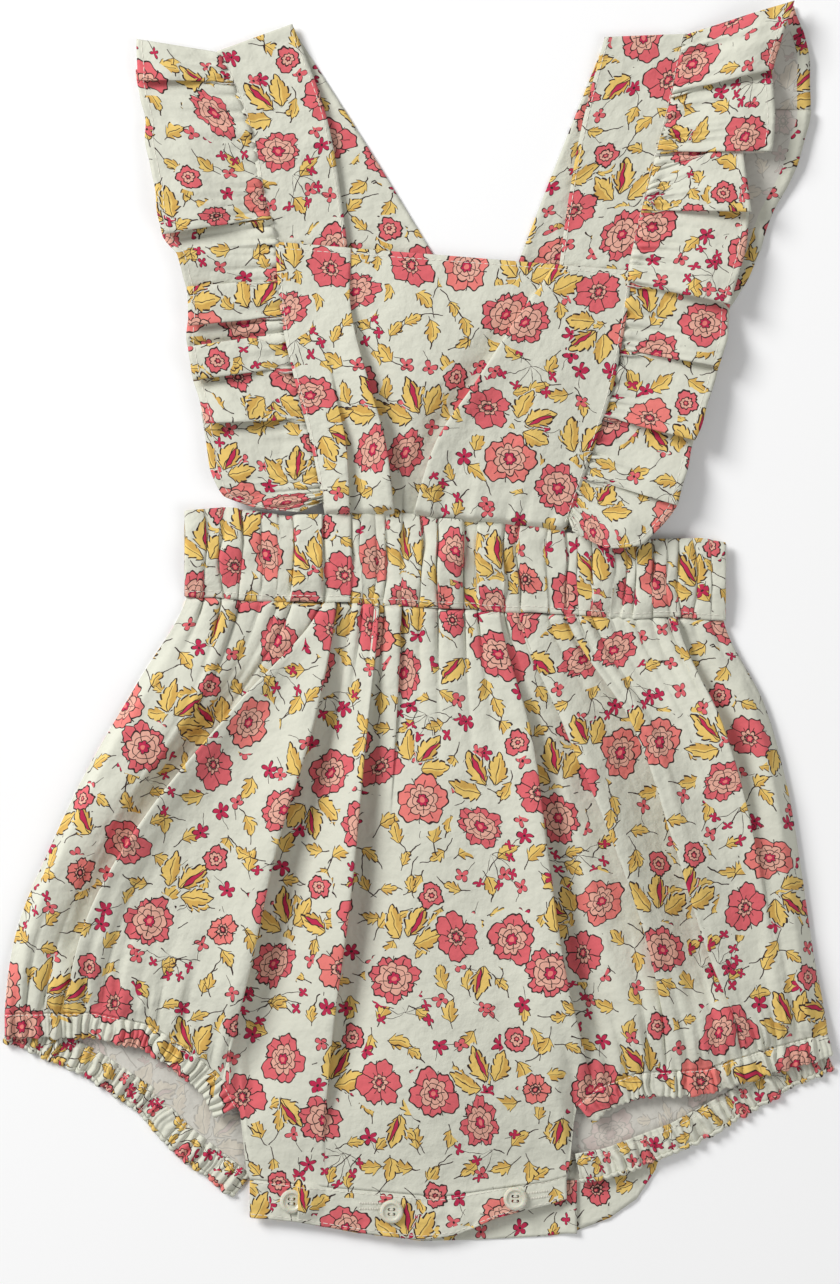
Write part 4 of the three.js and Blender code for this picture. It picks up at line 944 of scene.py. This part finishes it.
def ruffle(name, bib_side, outside, seam_rest, hem_rest, seed, width=1.3, depth_rows=30):
    table = RUFFLES[name]
    strap = name.replace("ruffle_", "") + "_strap"
    edge = outer_edge(strap, bib_side)
    outwards = np.sign(table[0]["hem"][0])
    seam_y = np.array([row["seam_y"] for row in table])
    hem = np.array([row["hem"] for row in table], float)
    columns, folds = ruffle_columns(table, width)
    q = np.array([c[0] for c in columns])
    stretch = np.array([c[1] for c in columns])
    share = np.array([c[2] for c in columns])
    opened = np.maximum.accumulate(np.array([c[3] for c in columns]))
    stations = np.arange(len(table))
    w = np.linspace(-0.045, 1, depth_rows)[:, None]
    place = opened[None, :] + (q - opened)[None, :] * smooth((w - 0.06) / 0.3)
    sy = np.interp(place, stations, seam_y)
    sx = np.interp(sy, edge["x"], edge["edge"]) + outwards * 0.4

    def even(values):
        straight = np.interp(place, stations, values)
        return 0.6 * straight + 0.4 * through(values, place / stations[-1])

    hx, hy = even(hem[:, 0]), even(hem[:, 1])
    # Lift of each stretch between two folds, kept level past its ends
    starts = [0, *folds]
    ends = [*folds, len(table) - 1]
    lifts = []
    for n, (a, b) in enumerate(zip(starts, ends)):
        first = table[a]["past"] if n else table[a]["lift"]
        values = [first] + [table[k]["lift"] for k in range(a + 1, b + 1)]
        smooth_q = np.clip(q, a, b)
        lifts.append(np.interp(smooth_q, range(a, b + 1), values))
    lifts = np.array(lifts)
    index = np.arange(len(q))
    lift = lifts[stretch, index] * share + lifts[np.minimum(stretch + 1, len(lifts) - 1), index] * (1 - share)
    hem_way = np.concatenate([[0], np.cumsum(np.hypot(np.diff(hx[-1]), np.diff(hy[-1])))])
    wander = smooth(w) * noise(hem_way[None, :], 12 * w, 9, seed + 7)
    x = sx * (1 - w) + hx * w + 0.9 * outwards * wander
    y = sy * (1 - w) + hy * w
    rise = smooth((w + 0.1) / 0.85)
    out_share = smooth(w / 0.6)
    z = seam_rest(sy) * (1 - out_share) + hem_rest * out_share + lift[None, :] * rise
    # Cloth puffs between the folds and lies low at their feet
    calm = 1.0 if outside == "up" else 0.35
    puff = np.full(len(q), 1.0)
    for n, fold in enumerate(folds):
        lower = n + 1 if table[fold]["lift"] > table[fold]["past"] else n
        away = np.abs(hem_way - np.interp(fold, q, hem_way))
        puff -= 1.0 * np.exp(-((away / 5) ** 1.5)) * (stretch == lower)
    z = z + calm * puff[None, :] * rise
    # Fine gathers fan out from the seam
    valleys = uneven_valleys(0, hem_way[-1], max(8, int(hem_way[-1] / 4.2)), seed)
    bump, ridge = gather_bumps(hem_way, valleys)
    rng = np.random.default_rng(seed + 1)
    length = rng.uniform(0.06, 0.5, 99)[ridge]
    size = rng.uniform(1.0, 3.2, 99)[ridge]
    z = z + calm * (bump * size)[None, :] * np.exp(-np.maximum(w, 0) / length[None, :])
    z = z + calm * crumple(x, y, seed + 2, 1.0) * smooth(w * 3)
    z = z + calm * 0.7 * noise(hem_way[None, :], 30 * w, 8, seed + 5) * w
    z = z - 0.9 * smooth((0.02 - w) / 0.06) * (outside == "up")
    z = z + 0.16 * (w > 0.935)
    floor = 0.05 if outside == "down" else 1.75
    points = np.stack([x, y, np.maximum(z, floor)], axis=2)
    s, v = along(points)
    cloth_way = s[int(0.8 * depth_rows)]
    flat = np.stack([-v, np.broadcast_to(-cloth_way, s.shape)], axis=2)
    # On the wrong side the turned hem shows its print
    if outside == "up":
        faces = 2 * np.broadcast_to((share[1:] < 1) | (share[:-1] < 1), (len(w) - 1, len(q) - 1))
    else:
        faces = np.broadcast_to(w[1:] > 0.93, (len(w) - 1, len(q) - 1))
    shell(name + "_cloth", points, flat, name, outside=outside,
          print_shift=(12 * seed, 300 - 7 * seed), faces=faces)
    declare(name + "_cloth")


def ruffles():
    front_seam = lambda y: (BIB_REST + (STRAP_REST - BIB_REST) * smooth((y - 130) / 20)) + WALL
    back_seam = lambda y: 0.1 + 0 * y
    ruffle("left_ruffle_front", "left", "up", front_seam, STRAP_REST + WALL, 101)
    ruffle("right_ruffle_front", "right", "up", front_seam, STRAP_REST + WALL, 111)
    ruffle("left_ruffle_back", None, "down", back_seam, 0.1, 121, 2.0, 20)
    ruffle("right_ruffle_back", None, "down", back_seam, 0.1, 131, 1.6, 24)


def stitches(name, paths, long=2.0, gap=0.55, wide=0.3):
    """Rows of small thread stitches that lie on the cloth along the paths, in millimetres."""
    points, faces = [], []
    for path in paths:
        path = np.asarray(path, float)
        step = np.linalg.norm(np.diff(path, axis=0), axis=1)
        way = np.concatenate([[0], np.cumsum(step)])
        for start in np.arange(0.4, way[-1] - long, long + gap):
            places = start + long * np.array([0, 0.12, 0.5, 0.88, 1])
            line = np.stack([np.interp(places, way, path[:, k]) for k in range(3)], axis=1)
            ahead = line[-1] - line[0]
            side = np.array([-ahead[1], ahead[0], 0]) / max(np.hypot(ahead[0], ahead[1]), 1e-6)
            first = len(points)
            for place, swell in zip(line, (0.25, 0.8, 1, 0.8, 0.25)):
                for a, b in ((-1, 0), (0, 1), (1, 0), (0, -1)):
                    middle = place + (0, 0, 0.1 * swell)
                    points.append(middle + side * a * swell * wide / 2 + (0, 0, b * swell * 0.13))
            for ring in range(4):
                for k in range(4):
                    a, b = first + 4 * ring + k, first + 4 * ring + (k + 1) % 4
                    faces.append((a, b, b + 4, a + 4))
            faces.append(tuple(range(first, first + 4))[::-1])
            faces.append(tuple(range(first + 16, first + 20)))
    mesh = bpy.data.meshes.new(name)
    mesh.from_pydata((np.array(points) * MM).tolist(), [], faces)
    mesh.polygons.foreach_set("use_smooth", [True] * len(faces))
    mesh.materials.append(THREAD)
    piece = bpy.data.objects.new(name, mesh)
    bpy.context.collection.objects.link(piece)
    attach(piece, "root")
    return piece


def grid(name):
    return made[name + "_cloth"]["points"]


def all_stitches():
    band = grid("front_waistband")
    stitches("waistband_stitches", [band[-3]])
    for side in ("left", "right"):
        hem = grid(side + "_ruffle_front")
        stitches(side + "_ruffle_stitches", [run for run in level_runs(hem[-3])])
        strap = grid(side + "_front_strap")
        stitches(side + "_strap_stitches", [strap[:, 1], strap[:, -2]])
        leg = grid(side + "_front_casing")
        stitches(side + "_casing_stitches", [leg[3]], long=1.5, gap=0.5)
        back = grid(side + "_back_casing")
        stitches(side + "_back_casing_stitches", [back[3]], long=1.5, gap=0.5)
    front = grid("bib")
    stitches("bib_stitches", [front[3], front[4:-6, 1], front[4:-6, -2]])
    placket = grid("front_placket")
    stitches("placket_stitches", [placket[4], placket[-3]])


def level_runs(row):
    """The stretches of a row between folds, where it goes on without turning back."""
    step = np.diff(row[:, :2], axis=0)
    main = row[-1, :2] - row[0, :2]
    onwards = (step @ main) > 0
    runs, start = [], 0
    for k, good in enumerate(onwards):
        if not good:
            if k - start > 4:
                runs.append(row[start:k])
            start = k + 1
    runs.append(row[start:])
    return [run for run in runs if len(run) > 4]


def buttons():
    """Pearl on the buttons, and the thread that holds them."""
    pearl = pearl_material()
    for name in ("button_left", "button_middle", "button_right"):
        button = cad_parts[name]
        button.data.materials.clear()
        button.data.materials.append(pearl)
        low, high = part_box(name)
        middle = (np.array(low) + np.array(high)) / 2 / MM
        reach = 0.9
        top = high[2] / MM - 0.75
        corners = [(-reach, -reach), (reach, -reach), (reach, reach), (-reach, reach)]
        threads = []
        for (ax, ay), (bx, by) in ((corners[0], corners[1]), (corners[3], corners[2])):
            for shift in (-0.12, 0.12):
                start = middle[:2] + (ax - 0.4, ay + shift)
                end = middle[:2] + (bx + 0.4, by + shift)
                threads.append([(*start, top), (*((start + end) / 2), top + 0.12), (*end, top)])
        stitches(name + "_thread", threads, long=1.8, gap=3, wide=0.24)
    holes = []
    for x, y, tilt in ((-18.9, -221.6, 0.0), (44.6, -217.4, 0.14)):
        for along_slit in np.arange(-4.0, 4.1, 0.62):
            for side in (-1.05, 1.05):
                a, b = x + along_slit, y + side + along_slit * tilt
                height = cloth_height("front_placket", a, b) + 0.1
                holes.append([(a, b - 0.75, height), (a, b + 0.75, height)])
    stitches("buttonhole_stitches", holes, long=0.9, gap=3, wide=0.42)


def cloth_height(name, x, y):
    """Height of the cloth of a piece at x and y."""
    points = grid(name).reshape(-1, 3)
    return points[np.hypot(points[:, 0] - x, points[:, 1] - y).argmin(), 2]


def material(name):
    m = bpy.data.materials.new(name)
    m.use_nodes = True
    m.node_tree.nodes.clear()
    return m


def simple(name, colour, roughness):
    m = material(name)
    nodes, links = m.node_tree.nodes, m.node_tree.links
    shader = nodes.new("ShaderNodeBsdfPrincipled")
    shader.inputs["Base Color"].default_value = (*colour, 1)
    shader.inputs["Roughness"].default_value = roughness
    out = nodes.new("ShaderNodeOutputMaterial")
    links.new(shader.outputs[0], out.inputs[0])
    return m


def paint(red, green, blue):
    """Colour from 0 to 255 as seen on a screen, made linear."""
    share = [c / 255 for c in (red, green, blue)]
    return tuple(c / 12.92 if c <= 0.04045 else ((c + 0.055) / 1.055) ** 2.4 for c in share)


GROUND = paint(208, 208, 193)
INK = paint(56, 40, 38)
CORAL = paint(213, 98, 104)
SALMON = paint(225, 122, 115)
PEACH = paint(221, 166, 148)
CRIMSON = paint(184, 40, 76)
MUSTARD = paint(224, 190, 106)
OCHRE = paint(205, 164, 84)


class Value:
    """A number in a node tree, so that the print's formulas read as formulas."""

    tree = None

    def __init__(self, socket):
        self.socket = socket

    def __add__(self, other):
        return formula("ADD", self, other)

    def __radd__(self, other):
        return formula("ADD", other, self)

    def __sub__(self, other):
        return formula("SUBTRACT", self, other)

    def __rsub__(self, other):
        return formula("SUBTRACT", other, self)

    def __mul__(self, other):
        return formula("MULTIPLY", self, other)

    def __rmul__(self, other):
        return formula("MULTIPLY", other, self)

    def __truediv__(self, other):
        return formula("DIVIDE", self, other)

    def __lt__(self, other):
        return formula("LESS_THAN", self, other)

    def __gt__(self, other):
        return formula("GREATER_THAN", self, other)

    def __abs__(self):
        return formula("ABSOLUTE", self)


def plug(socket, value):
    if isinstance(value, Value):
        Value.tree.links.new(value.socket, socket)
    else:
        socket.default_value = value


def formula(kind, *values):
    node = Value.tree.nodes.new("ShaderNodeMath")
    node.operation = kind
    for socket, value in zip(node.inputs, values):
        plug(socket, value)
    return Value(node.outputs[0])


def sine(a):
    return formula("SINE", a)


def cosine(a):
    return formula("COSINE", a)


def floor_of(a):
    return formula("FLOOR", a)


def power(a, b):
    return formula("POWER", a, b)


def smaller(a, b):
    return formula("MINIMUM", a, b)


def larger(a, b):
    return formula("MAXIMUM", a, b)


def both(a, b):
    return formula("MULTIPLY", a, b)


def vector(x, y, z=0.0):
    node = Value.tree.nodes.new("ShaderNodeCombineXYZ")
    for socket, value in zip(node.inputs, (x, y, z)):
        plug(socket, value)
    return Value(node.outputs[0])


def parts(value):
    node = Value.tree.nodes.new("ShaderNodeSeparateXYZ")
    plug(node.inputs[0], value)
    return [Value(s) for s in node.outputs]


def chance(x, y, seed):
    """Three random numbers from 0 to 1 for whole x and y."""
    node = Value.tree.nodes.new("ShaderNodeTexWhiteNoise")
    node.noise_dimensions = "3D"
    plug(node.inputs["Vector"], vector(x, y, seed))
    return parts(Value(node.outputs["Color"]))


def cloud(x, y, size, detail=1.0):
    """Smooth noise: three numbers about 0.5 for places in millimetres."""
    node = Value.tree.nodes.new("ShaderNodeTexNoise")
    node.noise_dimensions = "2D"
    plug(node.inputs["Vector"], vector(x, y))
    node.inputs["Scale"].default_value = 1 / size
    node.inputs["Detail"].default_value = detail
    return node


def tint(below, above, share):
    """One colour laid over another where share is 1."""
    node = Value.tree.nodes.new("ShaderNodeMix")
    node.data_type = "RGBA"
    plug(node.inputs["Factor"], share)
    for socket, colour in ((node.inputs[6], below), (node.inputs[7], above)):
        plug(socket, colour if isinstance(colour, Value) else (*colour, 1))
    return Value(node.outputs[2])


def cells(u, v, width, height, sway_x, sway_y, seed):
    """A brick lattice: place from each cell's swayed centre, and three random numbers."""
    row = floor_of(v / height)
    shifted = u / width + formula("FRACT", row / 2)
    column = floor_of(shifted)
    random = chance(column, row, seed)
    x = (shifted - column - 0.5) * width - (random[0] - 0.5) * (2 * sway_x)
    y = (v / height - row - 0.5) * height - (random[1] - 0.5) * (2 * sway_y)
    return x, y, random


def polar(x, y):
    return formula("SQRT", x * x + y * y), formula("ARCTAN2", y, x)


def turned(x, y, angle):
    c, s = cosine(angle), sine(angle)
    return x * c + y * s, y * c - x * s


def lie(below, x, y, radius, petals, spin, petal_colour, collar=0.42, plain=False):
    """An open flower with ruffled petals, a peach collar and a crimson heart."""
    r, angle = polar(x, y)
    angle = angle + spin
    lobe = abs(sine(angle * (petals / 2)))
    ruffled = 0.64 + 0.27 * power(lobe, 0.5) + 0.035 * cosine(angle * (3 * petals) + 1)
    ruffled = ruffled + 0.06 * cosine(angle * 2 + spin) + 0.06 * cosine(angle * 3 - spin * 2)
    outside = r - radius * ruffled
    colour = tint(below, INK, outside < 0.3)
    colour = tint(colour, petal_colour, outside < -0.3)
    if not plain:
        divide = both(lobe * r < 0.2 * petals / 2, r < radius * 0.84)
        middle = abs(cosine(angle * (petals / 2)))
        stroke = both(middle * r < 0.17 * petals / 2, r < radius * (collar + 0.22))
        colour = tint(colour, INK, larger(divide, stroke))
    ring = r - radius * (collar * 0.82 + 0.14 * power(abs(sine(angle * 4 + 1)), 0.6))
    colour = tint(colour, INK, ring < 0.24)
    colour = tint(colour, PEACH, ring < -0.24)
    inner = abs(sine(angle * 3 + 0.6))
    if not plain:
        crease = both(inner * r < 0.5, r < radius * collar * 0.9)
        colour = tint(colour, INK, crease)
        circle = abs(r - radius * (collar * 0.62 + 0.05 * inner)) < 0.16
        colour = tint(colour, INK, circle)
    heart = r - radius * (0.05 + 0.17 * collar + 0.08 * inner)
    colour = tint(colour, INK, heart < 0.22)
    colour = tint(colour, CRIMSON, heart < -0.2)
    return tint(colour, SALMON, both(r < radius * 0.09, heart < -0.2))


def slanted(x, y, way, share):
    """Place in a flower that is seen at a slant, so that it looks narrower one way."""
    a, b = turned(x, y, way)
    return a, b * (1 + 0.5 * share)


def leaves(below, x, y, turn, length, count):
    """Up to three notched leaves from one foot, the middle one with a red vein.

    Returns the colour with the leaves laid on, and the distance outside them."""
    spread = 1.02
    foot_length = 3.4
    a, b = turned(x, y, turn)
    r, angle = polar(a, b)
    side = smaller(larger(formula("ROUND", angle / spread), count * -1), count)
    apart = angle - side * spread
    s, t = r * cosine(apart), r * sine(apart)
    t = t + (side * 0.016 + 0.006) * s * s
    long = length * (1 - 0.16 * abs(side))
    q = larger(smaller((s - foot_length) / long, 1.0), 0.0)
    notch = 1 + 0.36 * (formula("FRACT", q * 5) - 0.5)
    half = 3.5 * sine(power(q, 0.85) * math.pi) * notch
    outside = abs(t) - half
    on_leaf = both(q > 0.01, q < 0.99)
    foot = both(abs(abs(t) - 0.36) < 0.14, both(s < foot_length + 0.8, s > -3))
    colour = tint(below, INK, both(foot, 1 - on_leaf))
    colour = tint(colour, INK, both(outside < 0.3, on_leaf))
    inside = both(outside < -0.3, on_leaf)
    colour = tint(colour, tint(MUSTARD, OCHRE, t < -0.8), inside)
    colour = tint(colour, INK, both(both(abs(t) < 0.15, q < 0.8), inside))
    broad = abs(t + 0.9) - 0.85 * sine(larger(smaller(q * 1.3 - 0.1, 1.0), 0.0) * math.pi)
    middle = both(abs(side) < 0.5, inside)
    colour = tint(colour, INK, both(middle, broad < 0.15))
    colour = tint(colour, CRIMSON, both(middle, broad < -0.15))
    return colour, larger(outside, abs(s - foot_length - long / 2) - long / 2)


def sprig(below, x, y, turn, cell):
    """Tiny crimson crosses on thin stems that spread from one foot."""
    a, b = turned(x + 3, y, turn)
    r, angle = polar(a, b)
    side = formula("ROUND", angle / 0.6)
    apart = angle - side * 0.6
    random = chance(side, floor_of(cell * 50), 7.0)
    reach = 6.5 + 7 * random[0]
    s, t = r * cosine(apart), r * sine(apart) + 0.03 * r * (r - reach)
    shown = both(abs(side) < 3.5, random[1] > 0.12)
    stem = both(both(abs(t) < 0.12, s < reach), shown)
    colour = tint(below, INK, stem)
    distance, way = polar(s - reach, t)
    petal = distance - 2.0 * (0.25 + 0.75 * power(abs(cosine(way * 2 + random[2] * 3)), 1.2))
    colour = tint(colour, INK, both(petal < 0.16, shown))
    return tint(colour, CRIMSON, both(petal < -0.16, shown))


def filler(below, u, v, size, seed, clear, leaf_share):
    """Small leaves, stars and crosses between the larger motifs, each on a bit of stem."""
    x, y, random = cells(u, v, size, size * 0.94, size * 0.13, size * 0.13, seed)
    a, b = turned(x, y, random[0] * 40)
    b = b + 0.035 * a * a
    kind = random[2]
    stem = both(abs(b) < 0.12, abs(a + 4.0) < 3.0)
    colour = tint(below, INK, both(stem, clear))
    long = 6.4 + 3.4 * random[1]
    q = larger(smaller(a / long + 0.5, 1.0), 0.0)
    half = long * 0.27 * sine(power(q, 0.8) * math.pi) * (1 + 0.6 * (formula("FRACT", q * 3.4) - 0.5))
    leaf = abs(b) - half
    r, angle = polar(a, b)
    five = kind > (1 + leaf_share) / 2
    wave = abs(cosine(angle * (2 + 0.5 * five)))
    star = r - (2.8 + 0.4 * five) * (0.26 + 0.74 * power(wave, 0.9))
    is_leaf = kind < leaf_share
    shape = is_leaf * leaf + (1 - is_leaf) * star
    colour = tint(colour, INK, both(shape < 0.22, clear))
    inside = both(shape < -0.2, clear)
    red = tint(CORAL, CRIMSON, five)
    yellow = tint(MUSTARD, OCHRE, b < -0.5)
    colour = tint(colour, tint(red, yellow, is_leaf), inside)
    vein = both(both(abs(b) < 0.13, is_leaf), both(inside, q < 0.75))
    dot = both(both(r < 0.5, inside), 1 - is_leaf)
    return tint(colour, INK, larger(vein, dot))


def floral_group():
    """The print as a node group: flat place in metres in, colour out."""
    tree = bpy.data.node_groups.new("FloralPrint", "ShaderNodeTree")
    tree.interface.new_socket("Flat", in_out="INPUT", socket_type="NodeSocketVector")
    tree.interface.new_socket("Colour", in_out="OUTPUT", socket_type="NodeSocketColor")
    start = tree.nodes.new("NodeGroupInput")
    end = tree.nodes.new("NodeGroupOutput")
    Value.tree = tree
    flat = parts(Value(start.outputs[0]))
    u, v = flat[0] * 1000, flat[1] * 1000
    shake = parts(Value(cloud(u, v, 4.6, 1.2).outputs["Color"]))
    u = u + (shake[0] - 0.5) * 1.9
    v = v + (shake[1] - 0.5) * 1.9

    # Two flowers side by side in the middle of each cell, and one on the border between cells
    width, height = 60.0, 57.0
    x, y, random = cells(u, v, width, height, 2.0, 1.8, 1.0)
    lean = random[2] * 2.4 - 0.9
    pair_x, pair_y = cosine(lean) * 10.6, sine(lean) * 10.6
    second = 6.4 + 3.8 * (formula("FRACT", random[0] * 7) > 0.4)
    side_x, side_y, side_random = cells(u + width / 2, v, width, height, 2.0, 2.0, 2.0)
    lone_x, lone_y = side_x + 2, side_y + 14.5
    gaps = [
        formula("SQRT", (x - pair_x) * (x - pair_x) + (y - pair_y) * (y - pair_y)) - 11.0,
        formula("SQRT", (x + pair_x) * (x + pair_x) + (y + pair_y) * (y + pair_y)) - second,
        formula("SQRT", lone_x * lone_x + lone_y * lone_y) - 10.6,
    ]
    rose_x, rose_y = side_x - 12, side_y - 17
    gaps.append(formula("SQRT", rose_x * rose_x + rose_y * rose_y) - 5.2)
    flower_gap = smaller(smaller(gaps[0], gaps[1]), smaller(gaps[2], gaps[3]))

    # Leaves beside the lone flower, and leaves between the two flowers of a pair
    turn = 1.0 + side_random[0] * 1.4
    clustered, leaf_gap = leaves(GROUND, side_x - 2, side_y + 2, turn, 15.0, 1.0)
    across = lean + math.pi / 2 + math.pi * (random[0] > 0.5)
    pair_leaf_x = x - cosine(across) * 7
    pair_leaf_y = y - sine(across) * 7
    count = random[1] > 0.45
    clustered, pair_leaf_gap = leaves(clustered, pair_leaf_x, pair_leaf_y, across, 13.0, count)
    on_leaf = larger(leaf_gap < 0.35, pair_leaf_gap < 0.35)
    clear = both(both(flower_gap > 0.7, leaf_gap > 0.8), pair_leaf_gap > 0.8)

    ground = filler(GROUND, u, v, 12.8, 3.0, clear, 0.76)
    ground = filler(ground, u + 5.1, v + 6.3, 17.2, 4.0, clear, 0.56)
    sprig_x, sprig_y, sprig_random = cells(u + 22, v + height / 2, width, height, 5.0, 4.0, 5.0)
    sprigged = sprig(ground, sprig_x, sprig_y, sprig_random[0] * 40, sprig_random[1])
    colour = tint(ground, sprigged, clear)
    colour = tint(colour, clustered, on_leaf)
    colour = lie(colour, rose_x, rose_y, 5.2, 5, side_random[0] * 9, CORAL, plain=True)
    warm = tint(CORAL, SALMON, random[1] > 0.5)
    cool = tint(SALMON, CORAL, random[1] > 0.25)
    a, b = slanted(lone_x, lone_y, side_random[2] * 6, side_random[0])
    colour = lie(colour, a, b, 10.6, 7, side_random[1] * 9, CORAL, collar=0.62)
    a, b = slanted(x + pair_x, y + pair_y, random[2] * 6, random[1] * 0.7)
    colour = lie(colour, a, b, second, 6, random[0] * 9, cool, collar=0.26)
    a, b = slanted(x - pair_x, y - pair_y, random[0] * 6, random[2] * 0.6)
    colour = lie(colour, a, b, 10.8, 5, random[1] * 9, warm, collar=0.52)
    tree.links.new(colour.socket, end.inputs[0])
    return tree


def cotton(name, wrong_side=False):
    """Printed cotton, right side or wrong side, in the cloth's own flat place."""
    m = material(name)
    tree = m.node_tree
    Value.tree = tree
    place = tree.nodes.new("ShaderNodeUVMap")
    place.uv_map = "flat"
    pattern = tree.nodes.new("ShaderNodeGroup")
    pattern.node_tree = PATTERN
    tree.links.new(place.outputs[0], pattern.inputs[0])
    colour = Value(pattern.outputs[0])
    flat = parts(Value(place.outputs[0]))
    u, v = flat[0] * 1000, flat[1] * 1000
    if wrong_side:
        grey = tree.nodes.new("ShaderNodeHueSaturation")
        grey.inputs["Saturation"].default_value = 0.45
        plug(grey.inputs["Color"], colour)
        colour = tint(Value(grey.outputs[0]), paint(200, 196, 186), 0.74)
    dusty = Value(cloud(u, v, 40, 3).outputs[0])
    shade = 0.94 + dusty * 0.12
    weave = 0.5 + 0.25 * (sine(u * (2 * math.pi / 0.42)) + sine(v * (2 * math.pi / 0.42)))
    mix = tree.nodes.new("ShaderNodeVectorMath")
    mix.operation = "SCALE"
    plug(mix.inputs[0], colour)
    plug(mix.inputs["Scale"], shade * (0.97 + 0.05 * weave))
    shader = tree.nodes.new("ShaderNodeBsdfPrincipled")
    tree.links.new(mix.outputs[0], shader.inputs["Base Color"])
    shader.inputs["Roughness"].default_value = 0.88
    shader.inputs["Specular IOR Level"].default_value = 0.25
    shader.inputs["Sheen Weight"].default_value = 0.12
    shader.inputs["Sheen Roughness"].default_value = 0.5
    crease = Value(cloud(u, v, 7, 4).outputs[0])
    bump = tree.nodes.new("ShaderNodeBump")
    bump.inputs["Strength"].default_value = 1.0
    bump.inputs["Distance"].default_value = MM
    plug(bump.inputs["Height"], crease * 0.9 + weave * 0.02)
    tree.links.new(bump.outputs[0], shader.inputs["Normal"])
    out = tree.nodes.new("ShaderNodeOutputMaterial")
    tree.links.new(shader.outputs[0], out.inputs[0])
    return m


def thread_material():
    m = simple("thread", paint(232, 228, 216), 0.7)
    return m


def pearl_material():
    """Cream shell button: cloudy bands under a soft gloss."""
    m = simple("pearl", paint(226, 221, 203), 0.28)
    tree = m.node_tree
    Value.tree = tree
    shader = next(n for n in tree.nodes if n.type == "BSDF_PRINCIPLED")
    place = tree.nodes.new("ShaderNodeTexCoord")
    xyz = parts(Value(place.outputs["Object"]))
    veil = Value(cloud(xyz[0] * 1000, xyz[1] * 1000, 2.2, 3).outputs[0])
    colour = tint(paint(196, 193, 174), paint(223, 222, 206), veil)
    tree.links.new(colour.socket, shader.inputs["Base Color"])
    shader.inputs["Coat Weight"].default_value = 0.5
    shader.inputs["Coat Roughness"].default_value = 0.12
    shader.inputs["Subsurface Weight"].default_value = 0.15
    shader.inputs["Subsurface Scale"].default_value = 0.001
    return m


PATTERN = floral_group()
THREAD = thread_material()
PRINT = cotton("floral_print")
WRONG_SIDE = cotton("print_wrong_side", wrong_side=True)


def studio():
    scene = bpy.context.scene
    world = bpy.data.worlds.new("studio")
    world.use_nodes = True
    world.node_tree.nodes["Background"].inputs[0].default_value = (1, 1, 1, 1)
    world.node_tree.nodes["Background"].inputs[1].default_value = 0.31
    scene.world = world
    scene.view_settings.view_transform = "Standard"
    bpy.ops.mesh.primitive_plane_add(size=6.0, location=(0, 0, 0))
    floor = bpy.context.object
    floor.name = "floor"
    floor.data.materials.append(simple("floor", (0.95, 0.95, 0.95), 0.9))
    for name, place, size, watts in (
        ("key", (-1.5, 1.15, 1.25), 0.9, 54),
        ("fill", (1.5, -0.9, 1.7), 1.6, 14),
    ):
        light = bpy.data.lights.new(name, "AREA")
        light.size = size
        light.energy = watts
        lamp = bpy.data.objects.new(name, light)
        lamp.location = place
        aim = -np.array(place)
        lamp.rotation_mode = "QUATERNION"
        from mathutils import Vector
        lamp.rotation_quaternion = Vector(aim.tolist()).to_track_quat("-Z", "Y")
        bpy.context.collection.objects.link(lamp)


def camera():
    data = bpy.data.cameras.new("camera")
    data.sensor_width = 36.0
    long_side = max(PICTURE) * PIXEL
    data.lens = data.sensor_width * CAMERA_HEIGHT / long_side
    data.clip_end = 20
    eye = bpy.data.objects.new("camera", data)
    eye.location = (PICTURE_CENTRE[0] * MM, PICTURE_CENTRE[1] * MM, CAMERA_HEIGHT * MM)
    bpy.context.collection.objects.link(eye)
    bpy.context.scene.camera = eye


studio()
camera()
back_skirt()
front_skirt()
waistbands()
casings()
plackets()
bib()
straps()
ruffles()
all_stitches()
buttons()
